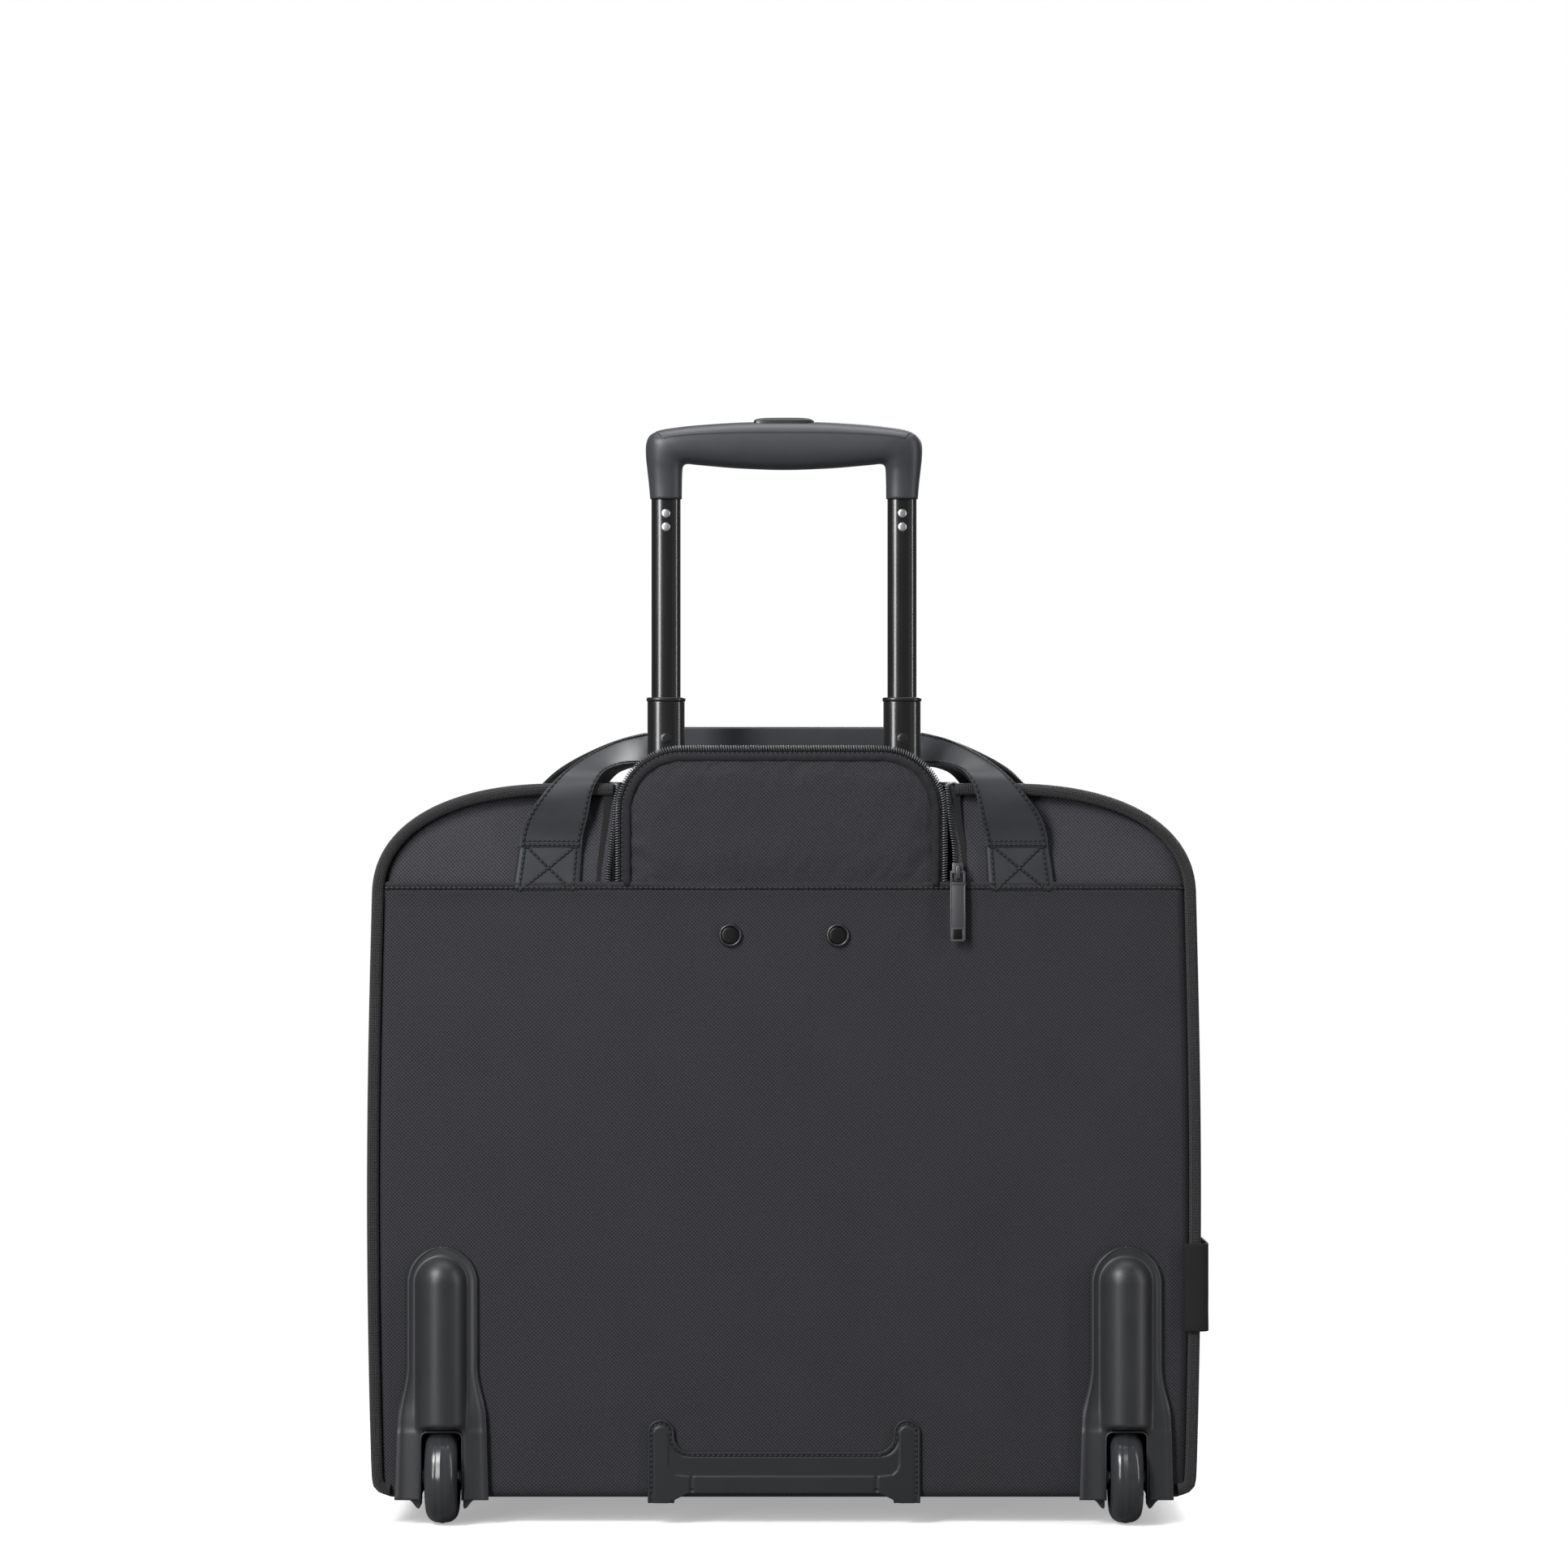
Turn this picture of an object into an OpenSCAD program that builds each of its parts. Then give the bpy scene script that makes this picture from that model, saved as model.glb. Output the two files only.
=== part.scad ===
// Soft-sided pilot case on two wheels, with a two-stage telescopic handle behind a zipped cover.
// Frame: +Z up, floor at Z = 0, the rear panel faces -Y, and X runs across the case.

/* [Body] */
// Width of the body at its widest
body_w = 450; // [440:1:460]
// Height of the underside above the floor
body_bottom = 16; // [15:0.5:17]
// Height of the top of the body above the floor
body_top = 400; // [396:1:404]
// Horizontal reach of each rounded shoulder
shoulder_w = 103; // [95:1:106]
// Height of each rounded shoulder
shoulder_h = 62; // [56:1:66]
// How far the sides belly out between the bottom and the shoulders
side_belly = 2.6; // [1:0.2:4]
// Outer face of the rear panel, in Y
rear_y = -90; // [-90:1:-88]
// Outer face of the front panel, in Y
front_y = 84; // [82:1:90]
// Seam of the main zip, in Y
zip_y = 22; // [18:1:28]
// Height at which the main zip stops above the bottom
zip_end_z = 60; // [50:1:75]
// Thickness of the padded walls
wall = 3; // [2.5:0.1:3]
// Diameter of the piping round each face
piping_d = 6.4; // [5.5:0.1:6.6]
// Height of the hem where the lower rear panel overlaps the upper one
hem_z = 346; // [345:0.5:346]

/* [Trolley cover] */
// Width of the zipped cover flap at its base, teeth included
flap_w = 180; // [176:1:181]
// Height of the top of the flap above the floor
flap_top = 420.6; // [418:0.2:422]
// Corner radius of the flap
flap_r = 36; // [30:1:40]
// Sideways offset of the flap from the centre plane
flap_x = -1.5; // [-1.5:0.1:-1]
// Thickness of the padded flap
flap_t = 4.5; // [4:0.1:4.5]

/* [Telescopic handle] */
// Distance between the two tube centres
tube_pitch = 128; // [126:1:130]
// Tube centres, in Y
tube_y = -74; // [-74.5:0.1:-73.5]
// Width of the upper tubes
upper_w = 15.8; // [15.6:0.1:15.8]
// Depth of the upper tubes
upper_d = 10.8; // [10.6:0.1:10.8]
// Wall thickness of all the tubes
tube_wall = 1; // [0.8:0.1:1]
// How far the lower tubes are drawn out of the case
lower_raise = 96; // [90:1:96]
// How far the upper tubes are drawn out of the lower ones
upper_raise = 107; // [100:1:107]
// Width of the grip
grip_w = 150; // [148:1:152]
// Height of the grip from the ends of its legs to its crown
grip_h = 41.6; // [40:0.2:42]
// Depth of the grip's bar
grip_d = 23; // [21:1:23]
// Width of the release button
button_w = 33; // [30:1:36]

/* [Wheels] */
// Diameter of the wheels
wheel_d = 52; // [50:1:52]
// Width of the wheels
wheel_w = 17.5; // [16:0.5:18]
// Distance between the two wheels' centre planes
wheel_track = 369; // [366:1:372]
// Wheel axis, in Y
wheel_y = -82; // [-83:0.5:-81]
// Diameter of the wheel axles
axle_d = 6; // [5:0.5:6]

/* [Carry handles] */
// Width of the handle straps
strap_w = 33; // [31:1:35]
// Thickness of the handle straps
strap_t = 2.6; // [2.2:0.1:3]
// Distance from the centre plane to each strap's anchor
anchor_x = 126; // [124:1:128]
// Height of the top of the handles above the floor
handle_top = 430; // [428:1:432]

/* [Hidden] */
$fn = 48;

LEFT = -1;
RIGHT = 1;
gap = 0.3;                                   // clearance between neighbouring pieces
far = 600;                                   // longer than any piece of the case

// Body outline
shoulder_n = 2.3;                            // exponent of the superelliptic shoulders
shoulder_z = body_top - shoulder_h;
foot_r = 8;                                  // radius of the bottom corners
skin = 1;                                    // how far the piping stands proud of the walls
panel_inset = piping_d + 0.6;                // the panels sit inside the piping

// Trolley well, behind the flap
board_y = rear_y + 30;                       // rear face of the back board
board_t = 2.5;
well_w = 185;
liner_t = 1.2;

// Telescopic handle
upper_r = 5.2;                               // corner radius of the nearly oval upper tubes
collar_t = 0.95;                             // wall of the collar's skirt
lower_w = upper_w + 2 * (0.25 + collar_t + tube_wall);
lower_d = upper_d + 2 * (0.25 + collar_t + tube_wall);
lower_r = upper_r + 0.25 + collar_t + tube_wall;
housing_gap = 0.35;
housing_w = lower_w + 2 * (housing_gap + tube_wall);
housing_d = lower_d + 2 * (housing_gap + tube_wall);
housing_r = lower_r + housing_gap + tube_wall;
bezel_top = hem_z + 2;
bezel_t = 3;
tongue_x = 43;                               // half width of the tongue that the studs fasten
tube_floor = 26;                             // where the housing tubes stand in the base bracket
ring_h = 2.2;                                // height of the collar's ring above the lower tube
lower_top = bezel_top + gap + lower_raise;
lower_bottom = 132;
collar_top = lower_top + ring_h;
leg_bottom = collar_top + 0.7 + upper_raise;
upper_bottom = leg_bottom - 310;
grip_top = leg_bottom + grip_h;
bar_h = 25;                                  // height of the grip's bar at its middle
cap_h = 8.6;                                 // height of the grip's top cap
nub_z = collar_top - 22.3;
rivet_r = 2.4;
rivet_proud = 0.6;                           // the collars have a groove that lets the rivets in
button_proud = 2.4;
rod_y = tube_y + 2.5;                        // the release rods run beside the lock pins
pin_r = 2.4;
pin_z = upper_bottom + 6;

// Wheels
wheel_x = wheel_track / 2;
wheel_r = wheel_d / 2;
slot_w = 23.2;
cheek_w = 44;                                // outside width of each wheel box
box_top = 56;
box_front = wheel_y + wheel_r + 5;           // the wheel box reaches this far into the case
hub_r = 15.5;
bearing_r = 9.5;
bearing_w = 6;
running = 0.03;                              // radial clearance of the bearings on the axle

// Lid hinge and pocket
lid_z = 22;
pocket_t = 18;

anchor_top = 364;                            // the strap leaves its anchor here
bumper_arm_x = 66.3;
bumper_arm_r = 7.2;
stud_x = 29;
stud_z = 318;
stud_hole_r = 2.6;
coil_w = 3.3;                                // width of the flap's half of its zip
pull_x = 93.6;
pull_t = 1.4;
pull_axis = 3.3;                             // height of the pull's turning axis in the slider
main_slider_x = 26;
main_slider_lift = 1.6;                      // clears the front cover's zip as the cover opens

// The outline seen from behind, inset by i: x by height up one side, and the rounded shoulder.
function side_x(z) = body_w / 2 - side_belly
    + side_belly * sin(180 * (z - body_bottom) / (shoulder_z - body_bottom));
function right_side(i) = concat(
    [for (a = [-90:22.5:-1]) [
        side_x(body_bottom) - foot_r + (foot_r - min(i, foot_r - 1)) * cos(a) - max(0, i - foot_r + 1),
        body_bottom + foot_r + (foot_r - min(i, foot_r - 1)) * sin(a) + max(0, i - foot_r + 1)]],
    [for (k = [0:5]) let (z = body_bottom + foot_r + k * (shoulder_z - body_bottom - foot_r) / 6)
        [side_x(z) - i, z]],
    [for (k = [0:12]) let (a = 90 * k / 12) [
        side_x(shoulder_z) - shoulder_w + (shoulder_w - i) * pow(cos(a), 2 / shoulder_n),
        shoulder_z + (shoulder_h - i) * pow(sin(a), 2 / shoulder_n)]]);
function mirrored(points) = [for (k = [len(points) - 1:-1:0]) [-points[k][0], points[k][1]]];
function outline(i) = concat(right_side(i), mirrored(right_side(i)));

// Stands a shape drawn in X and Z up between two Y planes.
module upright(y0, y1) {
    translate([0, y1, 0]) rotate([90, 0, 0]) linear_extrude(y1 - y0) children();
}

module body_ring(outer, inner) {
    difference() {
        polygon(outline(outer));
        polygon(outline(inner));
    }
}

// A block from one corner to the other.
module block(low, high) {
    translate(low) cube(high - low);
}

// A rectangle with rounded corners, centred.
module rounded_rect(w, d, r) {
    square([w - 2 * r, d], center = true);
    square([w, d - 2 * r], center = true);
    for (x = [-1, 1], y = [-1, 1])
        translate([x * (w / 2 - r), y * (d / 2 - r)]) circle(r);
}

module rounded_tube(w, d, r, t) {
    difference() {
        rounded_rect(w, d, r);
        rounded_rect(w - 2 * t, d - 2 * t, r - t);
    }
}

module at_tube(side) {
    translate([side * tube_pitch / 2, tube_y, 0]) children();
}

module wheel_boxes(extra) {
    for (side = [LEFT, RIGHT])
        block([side * wheel_x - cheek_w / 2 - extra, -far, -far],
              [side * wheel_x + cheek_w / 2 + extra, box_front + extra, box_top + extra]);
}

// ---- soft body, fixed half ----

module rear_panel() {
    color("#3b3a3f") difference() {
        upright(rear_y, rear_y + wall) intersection() {
            polygon(outline(panel_inset));
            translate([-far, -far]) square([2 * far, far + hem_z]);
        }
        wheel_boxes(gap);
        for (side = [LEFT, RIGHT])
            translate([side * stud_x, 0, stud_z]) rotate([90, 0, 0]) cylinder(r = stud_hole_r, h = far);
    }
}

module upper_rear_panel() {
    color("#3b3a3f") upright(rear_y + 1, rear_y + 3.5) difference() {
        polygon(outline(panel_inset));
        translate([-far, -far]) square([2 * far, far + hem_z + gap]);
        translate([-well_w / 2 - 1.5, 0]) square([well_w + 3, far]);
    }
}

module rear_gusset() {
    color("#38373c") difference() {
        union() {
            upright(rear_y + 4, zip_y) body_ring(skin, skin + wall);
            intersection() {
                upright(zip_y - 1, front_y - 4.1) body_ring(skin, skin + wall);
                block([-far, -far, -far], [far, far, zip_end_z]);
            }
        }
        wheel_boxes(gap);
        block([-well_w / 2, -far, shoulder_z], [well_w / 2, board_y + 1, far]);
    }
}

module well_liner() {
    z0 = hem_z - gap;
    color("#1f1f22") difference() {
        block([-well_w / 2 - liner_t, rear_y + 3.8, z0],
              [well_w / 2 + liner_t, board_y - gap, body_top - skin - wall - gap]);
        block([-well_w / 2, -far, z0 + liner_t], [well_w / 2, board_y - gap - liner_t, far]);
        block([-83 - gap, rear_y + 4.7, 0], [83 + gap, -63 + gap, far]);
        block([-tongue_x - gap, -far, 0], [tongue_x + gap, rear_y + 8, far]);
    }
}

module back_board() {
    color("#2a2a2d") difference() {
        upright(board_y, board_y + board_t) polygon(outline(skin + wall + 1));
        wheel_boxes(gap);
    }
}

module base_board() {
    z0 = body_bottom + skin + wall + gap;
    color("#2a2a2d") difference() {
        block([-213, board_y + board_t + gap, z0], [213, front_y - 5, z0 + board_t]);
        wheel_boxes(gap);
    }
}

module laptop_divider() {
    color("#303036") translate([0, 0, 161.5]) upright(-44, -38)
        rounded_rect(410, 277, 20);
}

module piping(y0) {
    upright(y0, y0 + piping_d) difference() {
        body_ring(0, piping_d);
        translate([-side_x(0) + 13, -far]) square([2 * side_x(0) - 26, far + 60]);
    }
}

module rear_piping() {
    color("#34343a") difference() {
        piping(rear_y - 2.6);
        block([-well_w / 2 - 3.5, -far, shoulder_z], [well_w / 2 + 3.5, far, far]);
        block([wheel_x + 32, -far, 101], [far, rear_y + 4, 155]);
    }
}

// ---- telescopic handle, fixed parts ----

module housing_tube(side) {
    color("#b9bbbe") at_tube(side) translate([0, 0, tube_floor])
        linear_extrude(bezel_top - bezel_t - tube_floor)
            rounded_tube(housing_w, housing_d, housing_r, tube_wall);
}

module trolley_bezel() {
    color("#1d1d1f") difference() {
        union() {
            translate([0, tube_y, bezel_top - bezel_t]) linear_extrude(bezel_t)
                rounded_rect(166, 21.6, 8);
            block([-tongue_x, rear_y + wall + 0.2, 300], [tongue_x, rear_y + 7, hem_z]);
        }
        for (side = [LEFT, RIGHT]) {
            at_tube(side) linear_extrude(far)
                rounded_rect(lower_w + 2 * housing_gap, lower_d + 2 * housing_gap, lower_r + housing_gap);
            translate([side * stud_x, 0, stud_z]) rotate([90, 0, 0]) cylinder(r = stud_hole_r, h = far);
        }
    }
}

module base_bracket() {
    color("#1d1d1f") difference() {
        translate([0, tube_y, tube_floor - 5]) linear_extrude(11) rounded_rect(162, 22, 5);
        for (side = [LEFT, RIGHT])
            at_tube(side) translate([0, 0, tube_floor]) linear_extrude(far)
                rounded_rect(housing_w + 0.2, housing_d + 0.2, housing_r + 0.1);
    }
}

module stud_rings() {
    color("#2c2c2f") for (side = [LEFT, RIGHT])
        translate([side * stud_x, rear_y, stud_z]) rotate([90, 0, 0]) rotate_extrude()
            translate([4.7, 0]) {
                square([1.6, 1.4]);
                translate([0.8, 1.4]) circle(0.8);
            }
}

module stud_caps() {
    color("#141416") for (side = [LEFT, RIGHT])
        translate([side * stud_x, rear_y, stud_z]) rotate([90, 0, 0]) {
            cylinder(r = 4.6, h = 1.2);
            translate([0, 0, -5.6]) cylinder(r = stud_hole_r - 0.1, h = 6);
        }
}

// ---- wheels ----

// The flange's outline against the rear panel: round top, straight sides, flared foot.
module flange_outline(grow) {
    top_z = 150 - 19.3;
    translate([0, top_z]) circle(19.3 + grow);
    polygon([[-19.3 - grow, top_z], [-19.3 - grow, 74], [-23 - grow, 60], [-24.5 - grow, 14 - grow],
             [24.5 + grow, 14 - grow], [23 + grow, 60], [19.3 + grow, 74], [19.3 + grow, top_z]]);
}

module wheel_housing(side) {
    dome_r = 14;
    proud = 13;                              // how far the dome stands out of the rear panel
    dome_y = rear_y - proud + dome_r;
    color("#2e2f31") translate([side * wheel_x, 0, 0]) difference() {
        union() {
            upright(rear_y - 2.8, rear_y) flange_outline(0);
            intersection() {
                union() {
                    translate([0, dome_y, 40]) cylinder(r = dome_r, h = 91);
                    translate([0, dome_y, 131]) sphere(dome_r);
                }
                block([-far, -far, 0], [far, rear_y - 1, far]);
            }
            translate([0, 0, 13.6]) linear_extrude(48.4)
                polygon([[-22, rear_y - 1], [-15.5, rear_y - 10], [15.5, rear_y - 10], [22, rear_y - 1]]);
            block([-cheek_w / 2, rear_y - 1, 13.6], [cheek_w / 2, box_front, box_top]);
            upright(rear_y - 10, wheel_y + 8)
                polygon([[-17, 14], [-13.2, 9], [13.2, 9], [17, 14]]);
        }
        upright(-far, wheel_y - 4)
            polygon([[0, 26], [-slot_w / 2 - 2.4, 24.4], [-slot_w / 2 - 1.6, 22.6], [0, 19.5],
                     [slot_w / 2 + 1.6, 22.6], [slot_w / 2 + 2.4, 24.4]]);
        block([-slot_w / 2, -far, -far], [slot_w / 2, wheel_y + 4, 50.8]);
        translate([-slot_w / 2, wheel_y, wheel_r]) rotate([0, 90, 0])
            cylinder(r = wheel_r + 2.4, h = slot_w);
        block([-slot_w / 2, wheel_y, -far], [slot_w / 2, wheel_y + wheel_r + 2.4, wheel_r]);
        translate([-far / 2, wheel_y, wheel_r]) rotate([0, 90, 0]) cylinder(d = axle_d + 0.1, h = far);
    }
}

module axle(side) {
    color("#c9cacc") translate([side * wheel_x, wheel_y, wheel_r]) rotate([0, side * 90, 0]) {
        translate([0, 0, -cheek_w / 2]) cylinder(d = axle_d, h = cheek_w);
        translate([0, 0, cheek_w / 2]) cylinder(d = axle_d + 4, h = 1.5);
    }
}

module axle_spacers() {
    inner_x = wheel_w / 2 + 0.15;
    color("#c9cacc") for (side = [LEFT, RIGHT], face = [-1, 1])
        translate([side * wheel_x, wheel_y, wheel_r]) rotate([0, face * 90, 0])
            translate([0, 0, inner_x]) difference() {
                cylinder(r = 4.6, h = slot_w / 2 - inner_x - 0.05);
                translate([0, 0, -1]) cylinder(d = axle_d + 0.1, h = far);
            }
}

// Spins a profile, drawn as radius against width, about the wheel's axle.
module about_axle(side) {
    translate([side * wheel_x, wheel_y, wheel_r]) rotate([0, 90, 0]) rotate_extrude($fn = 96)
        children();
}

module tyre(side) {
    shoulder = 6.5;                          // radius of the rounded tread edges
    crown = 0.5;                             // how much lower the tread is at its rounded edges
    color("#161719") about_axle(side) difference() {
        union() {
            translate([hub_r, -wheel_w / 2]) square([wheel_r - shoulder - hub_r, wheel_w]);
            for (face = [-1, 1])
                translate([wheel_r - shoulder - crown, face * (wheel_w / 2 - shoulder)]) circle(shoulder);
            translate([hub_r, -wheel_w / 2 + shoulder])
                square([wheel_r - crown - hub_r, wheel_w - 2 * shoulder]);
            polygon([[wheel_r - crown - 2, -3], [wheel_r - crown, -2.25], [wheel_r, 0],
                     [wheel_r - crown, 2.25], [wheel_r - crown - 2, 3]]);
        }
        translate([0, -wheel_w]) square([hub_r + 0.02, 2 * wheel_w]);
    }
}

module hub(side) {
    web = wheel_w / 2 - bearing_w;
    color("#2b2b2e") about_axle(side) {
        translate([bearing_r, -wheel_w / 2 + 0.6]) square([3, wheel_w - 1.2]);
        translate([bearing_r, -4]) square([hub_r - bearing_r, 8]);
        translate([axle_d / 2 + 1, -web + 0.6]) square([bearing_r, 2 * web - 1.2]);
    }
}

module bearings(side) {
    color("#a9abae") about_axle(side) for (face = [-1, 1])
        translate([axle_d / 2 + running, face * (wheel_w - bearing_w - 1) / 2 - bearing_w / 2])
            square([bearing_r - axle_d / 2 - running, bearing_w]);
}

// ---- trim on the fixed half ----

// The skid plate's outline: two round-topped arms joined by a bar.
module bumper_outline(grow) {
    arm_r = bumper_arm_r + grow;
    arm_x = bumper_arm_x;
    bar_top = 39.5 + grow;
    fillet = 9;
    for (side = [-1, 1]) {
        translate([side * arm_x, 49.8]) circle(arm_r);
        translate([side * arm_x - arm_r, 12]) square([2 * arm_r, 37.8]);
        difference() {
            translate([side * (arm_x - arm_r - fillet / 2), bar_top + fillet / 2])
                square([fillet, fillet], center = true);
            translate([side * (arm_x - arm_r - fillet), bar_top + fillet]) circle(fillet);
        }
    }
    translate([-arm_x, 17 - grow]) square([2 * arm_x, bar_top - 17 + grow]);
}

module base_bumper() {
    arm_x = bumper_arm_x;
    rim = 1.3;                               // width of the raised rim outside the stitched groove
    color("#2c2d30") {
        upright(rear_y - 1.4, rear_y - 0.01) bumper_outline(0);
        upright(rear_y - 2.1, rear_y - 1.3) difference() {
            bumper_outline(0);
            bumper_outline(-rim);
        }
        upright(rear_y - 1.9, rear_y - 1.3) bumper_outline(-rim - 1.3);
        upright(rear_y - 2.4, rear_y - 1.3) {
            translate([-48.6, 17.6]) square([97.2, 8.6]);
            for (side = [-1, 1]) scale([side, 1]) {
                translate([arm_x, 49.2]) circle(3.8);
                polygon([[arm_x + 3.8, 49.2], [arm_x - 3.8, 49.2], [arm_x - 3.8, 33], [arm_x - 5, 29.4],
                         [arm_x - 7.6, 27], [51, 26.2], [51, 17.6], [arm_x - 3.8, 12],
                         [arm_x + 3.8, 12]]);
            }
        }
        for (side = [LEFT, RIGHT]) translate([side * arm_x, 0, 0])
            block([-6.6, rear_y - 1.4, 12], [6.6, rear_y + 22, body_bottom + skin - 0.2]);
    }
}

module front_feet() {
    color("#1c1c1e") for (side = [LEFT, RIGHT])
        translate([side * 165, 60, 0]) linear_extrude(body_bottom + skin) rounded_rect(44, 22, 10);
}

module side_tab() {
    color("#1e2023") {
        upright(rear_y - 4.2, rear_y - 2.8)
            polygon([[216.9, 152.4], [216.9, 104.8], [228.4, 104.3], [227.2, 152]]);
        block([226.4, rear_y - 4.2, 104.5], [228, rear_y + 46, 152]);
        block([224.3, rear_y + 38, 104.5], [228, rear_y + 46, 152]);
    }
}

module anchors(y0, z0) {
    lean = 2;                                // the patches lean inwards towards the top
    upright(y0, y0 + 2.2) for (side = [LEFT, RIGHT])
        polygon([[side * (anchor_x + lean - strap_w / 2 - 0.5), z0],
                 [side * (anchor_x + lean + strap_w / 2 + 0.5), z0],
                 [side * (anchor_x + strap_w / 2 + 0.5), anchor_top],
                 [side * (anchor_x - strap_w / 2 - 0.5), anchor_top]]);
}

module rear_anchors() {
    color("#25272b") anchors(rear_y - 1.3, hem_z + gap);
}

// The half of the cover's zip that stays on the case: up both sides and round the well.
module cover_zip_coil() {
    x0 = well_w / 2 + 0.8;
    z1 = body_top - skin;
    color("#0f0f10") {
        for (side = [-1, 1]) {
            block([side > 0 ? x0 : -x0 - 2.4, rear_y - 1.2, hem_z + (side > 0 ? 17 : gap)],
                  [side > 0 ? x0 + 2.4 : -x0, rear_y + 0.9, z1 + 1.2]);
            block([side > 0 ? x0 : -x0 - 2.4, rear_y - 1.2, z1 + 0.05],
                  [side > 0 ? x0 + 2.4 : -x0, board_y + 3.6, z1 + 1.2]);
        }
        block([-x0 - 2.4, board_y + 1.2, z1 + 0.05], [x0 + 2.4, board_y + 3.6, z1 + 1.2]);
    }
}

module main_coil(y0) {
    upright(y0, y0 + 3.4) difference() {
        body_ring(-0.6, skin);
        translate([-far, -far]) square([2 * far, far + zip_end_z + gap]);
    }
}

module main_zip_rear() {
    color("#0f0f10") main_coil(zip_y - 3.5);
}

// ---- front cover ----

module front_panel() {
    color("#3b3a3f") upright(front_y - wall, front_y) intersection() {
        polygon(outline(piping_d + 0.2));
        translate([-far, lid_z + gap]) square([2 * far, far]);
    }
}

module front_gusset() {
    color("#38373c") upright(zip_y + 0.4, front_y - 4) difference() {
        body_ring(skin, skin + wall);
        translate([-far, -far]) square([2 * far, far + zip_end_z + 0.4]);
    }
}

module front_piping() {
    color("#34343a") upright(front_y - 3.8, front_y + 2.6) difference() {
        body_ring(0, piping_d);
        translate([-far, -far]) square([2 * far, far + lid_z + gap]);
    }
}

module front_pocket() {
    color("#3b3a3f") translate([0, 0, 168]) upright(front_y + gap, front_y + gap + pocket_t)
        rounded_rect(372, 236, 36);
}

module pocket_zip() {
    color("#0f0f10") block([-160, front_y + 0.1, 292], [160, front_y + 2, 297]);
}

module front_anchors() {
    color("#25272b") anchors(front_y + 0.1, 330);
}

module main_zip_front() {
    color("#0f0f10") main_coil(zip_y + 0.5);
}

// ---- telescopic handle, lower stage ----

module lower_tube(side) {
    color("#17181a") difference() {
        at_tube(side) translate([0, 0, lower_bottom]) linear_extrude(lower_top - lower_bottom)
            rounded_tube(lower_w, lower_d, lower_r, tube_wall);
        at_tube(side) translate([0, 0, nub_z]) rotate([90, 0, 0]) cylinder(r = 3.05, h = far);
    }
}

module lower_collar(side) {
    skirt = 32;
    bore_w = upper_w + 0.5;
    bore_d = upper_d + 0.5;
    bore_r = upper_r + 0.25;
    color("#26272a") at_tube(side) difference() {
        union() {
            translate([0, 0, lower_top]) linear_extrude(ring_h)
                rounded_rect(lower_w + 1, lower_d + 1, lower_r + 0.5);
            translate([0, 0, lower_top - skirt]) linear_extrude(skirt + 1)
                rounded_rect(lower_w - 2 * tube_wall - 0.04, lower_d - 2 * tube_wall - 0.04,
                             lower_r - tube_wall - 0.02);
            translate([0, 0, nub_z]) rotate([90, 0, 0]) cylinder(r = 3, h = lower_d / 2 + 0.35);
        }
        translate([0, 0, lower_top - skirt - 1]) linear_extrude(skirt + ring_h + 2) {
            rounded_rect(bore_w, bore_d, bore_r);
            translate([-rivet_r - gap, -upper_d / 2 - rivet_proud - 0.15])
                square([2 * (rivet_r + gap), upper_d / 2]);
        }
    }
}

// ---- telescopic handle, upper stage ----

module upper_tube(side) {
    color("#17181a") difference() {
        at_tube(side) translate([0, 0, upper_bottom]) linear_extrude(leg_bottom + 22 - upper_bottom)
            rounded_tube(upper_w, upper_d, upper_r, tube_wall);
        at_tube(side) translate([0, 0, pin_z]) rotate([90, 0, 0]) cylinder(r = pin_r + 0.1, h = far);
        for (z = rivet_heights()) at_tube(side) translate([0, 0, z]) rotate([90, 0, 0])
            cylinder(r = 1.6, h = far);
    }
}

function rivet_heights() = [leg_bottom - 15.4, leg_bottom - 8];

module tube_rivets() {
    dome_r = (rivet_r * rivet_r + rivet_proud * rivet_proud) / 2 / rivet_proud;
    color("#d7d8da") for (side = [LEFT, RIGHT], z = rivet_heights())
        at_tube(side) translate([0, -upper_d / 2, z]) rotate([90, 0, 0]) {
            translate([0, 0, -2.4]) cylinder(r = 1.5, h = 2.5);
            intersection() {
                translate([0, 0, rivet_proud - dome_r]) sphere(dome_r);
                cylinder(r = rivet_r, h = far);
            }
        }
}

// The grip seen from behind: a bowed bar on two tapering legs.
function bow(x) = 2.6 * pow(2 * x / grip_w, 2);
module grip_outline() {
    half = grip_w / 2;
    leg_in = tube_pitch / 2 - upper_w / 2 - 0.6;
    leg_out = tube_pitch / 2 + upper_w / 2 + 0.6;
    crown = [for (x = [-half + 12:(grip_w - 24) / 12:half - 12]) [x, grip_top - bow(x)]];
    belly = [for (x = [leg_in - 3:-(2 * leg_in - 6) / 12:-leg_in + 3])
        [x, grip_top - bar_h + 2.4 * pow(x / leg_in, 2)]];
    right = [[half - 5, grip_top - 4.6], [half - 1.2, grip_top - 8.5], [half, grip_top - 13],
             [leg_out + 1, leg_bottom + 12], [leg_out, leg_bottom], [leg_in, leg_bottom],
             [leg_in - 0.6, grip_top - bar_h - 1.6]];
    polygon(concat(crown, right, belly, mirrored(right)));
}

// The grip seen from the side: a deep bar over shallower legs, rounded at the top and bottom.
module grip_side(shrink) {
    r = 8 - shrink;
    mid = grip_top - bar_h / 2 + 1;
    translate([0, mid]) rounded_rect(grip_d - 2 * shrink, bar_h + 2 - 2 * shrink, r);
    translate([-upper_d / 2 - 1.8 + shrink, leg_bottom])
        square([upper_d + 3.6 - 2 * shrink, grip_h - 12]);
}

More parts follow.
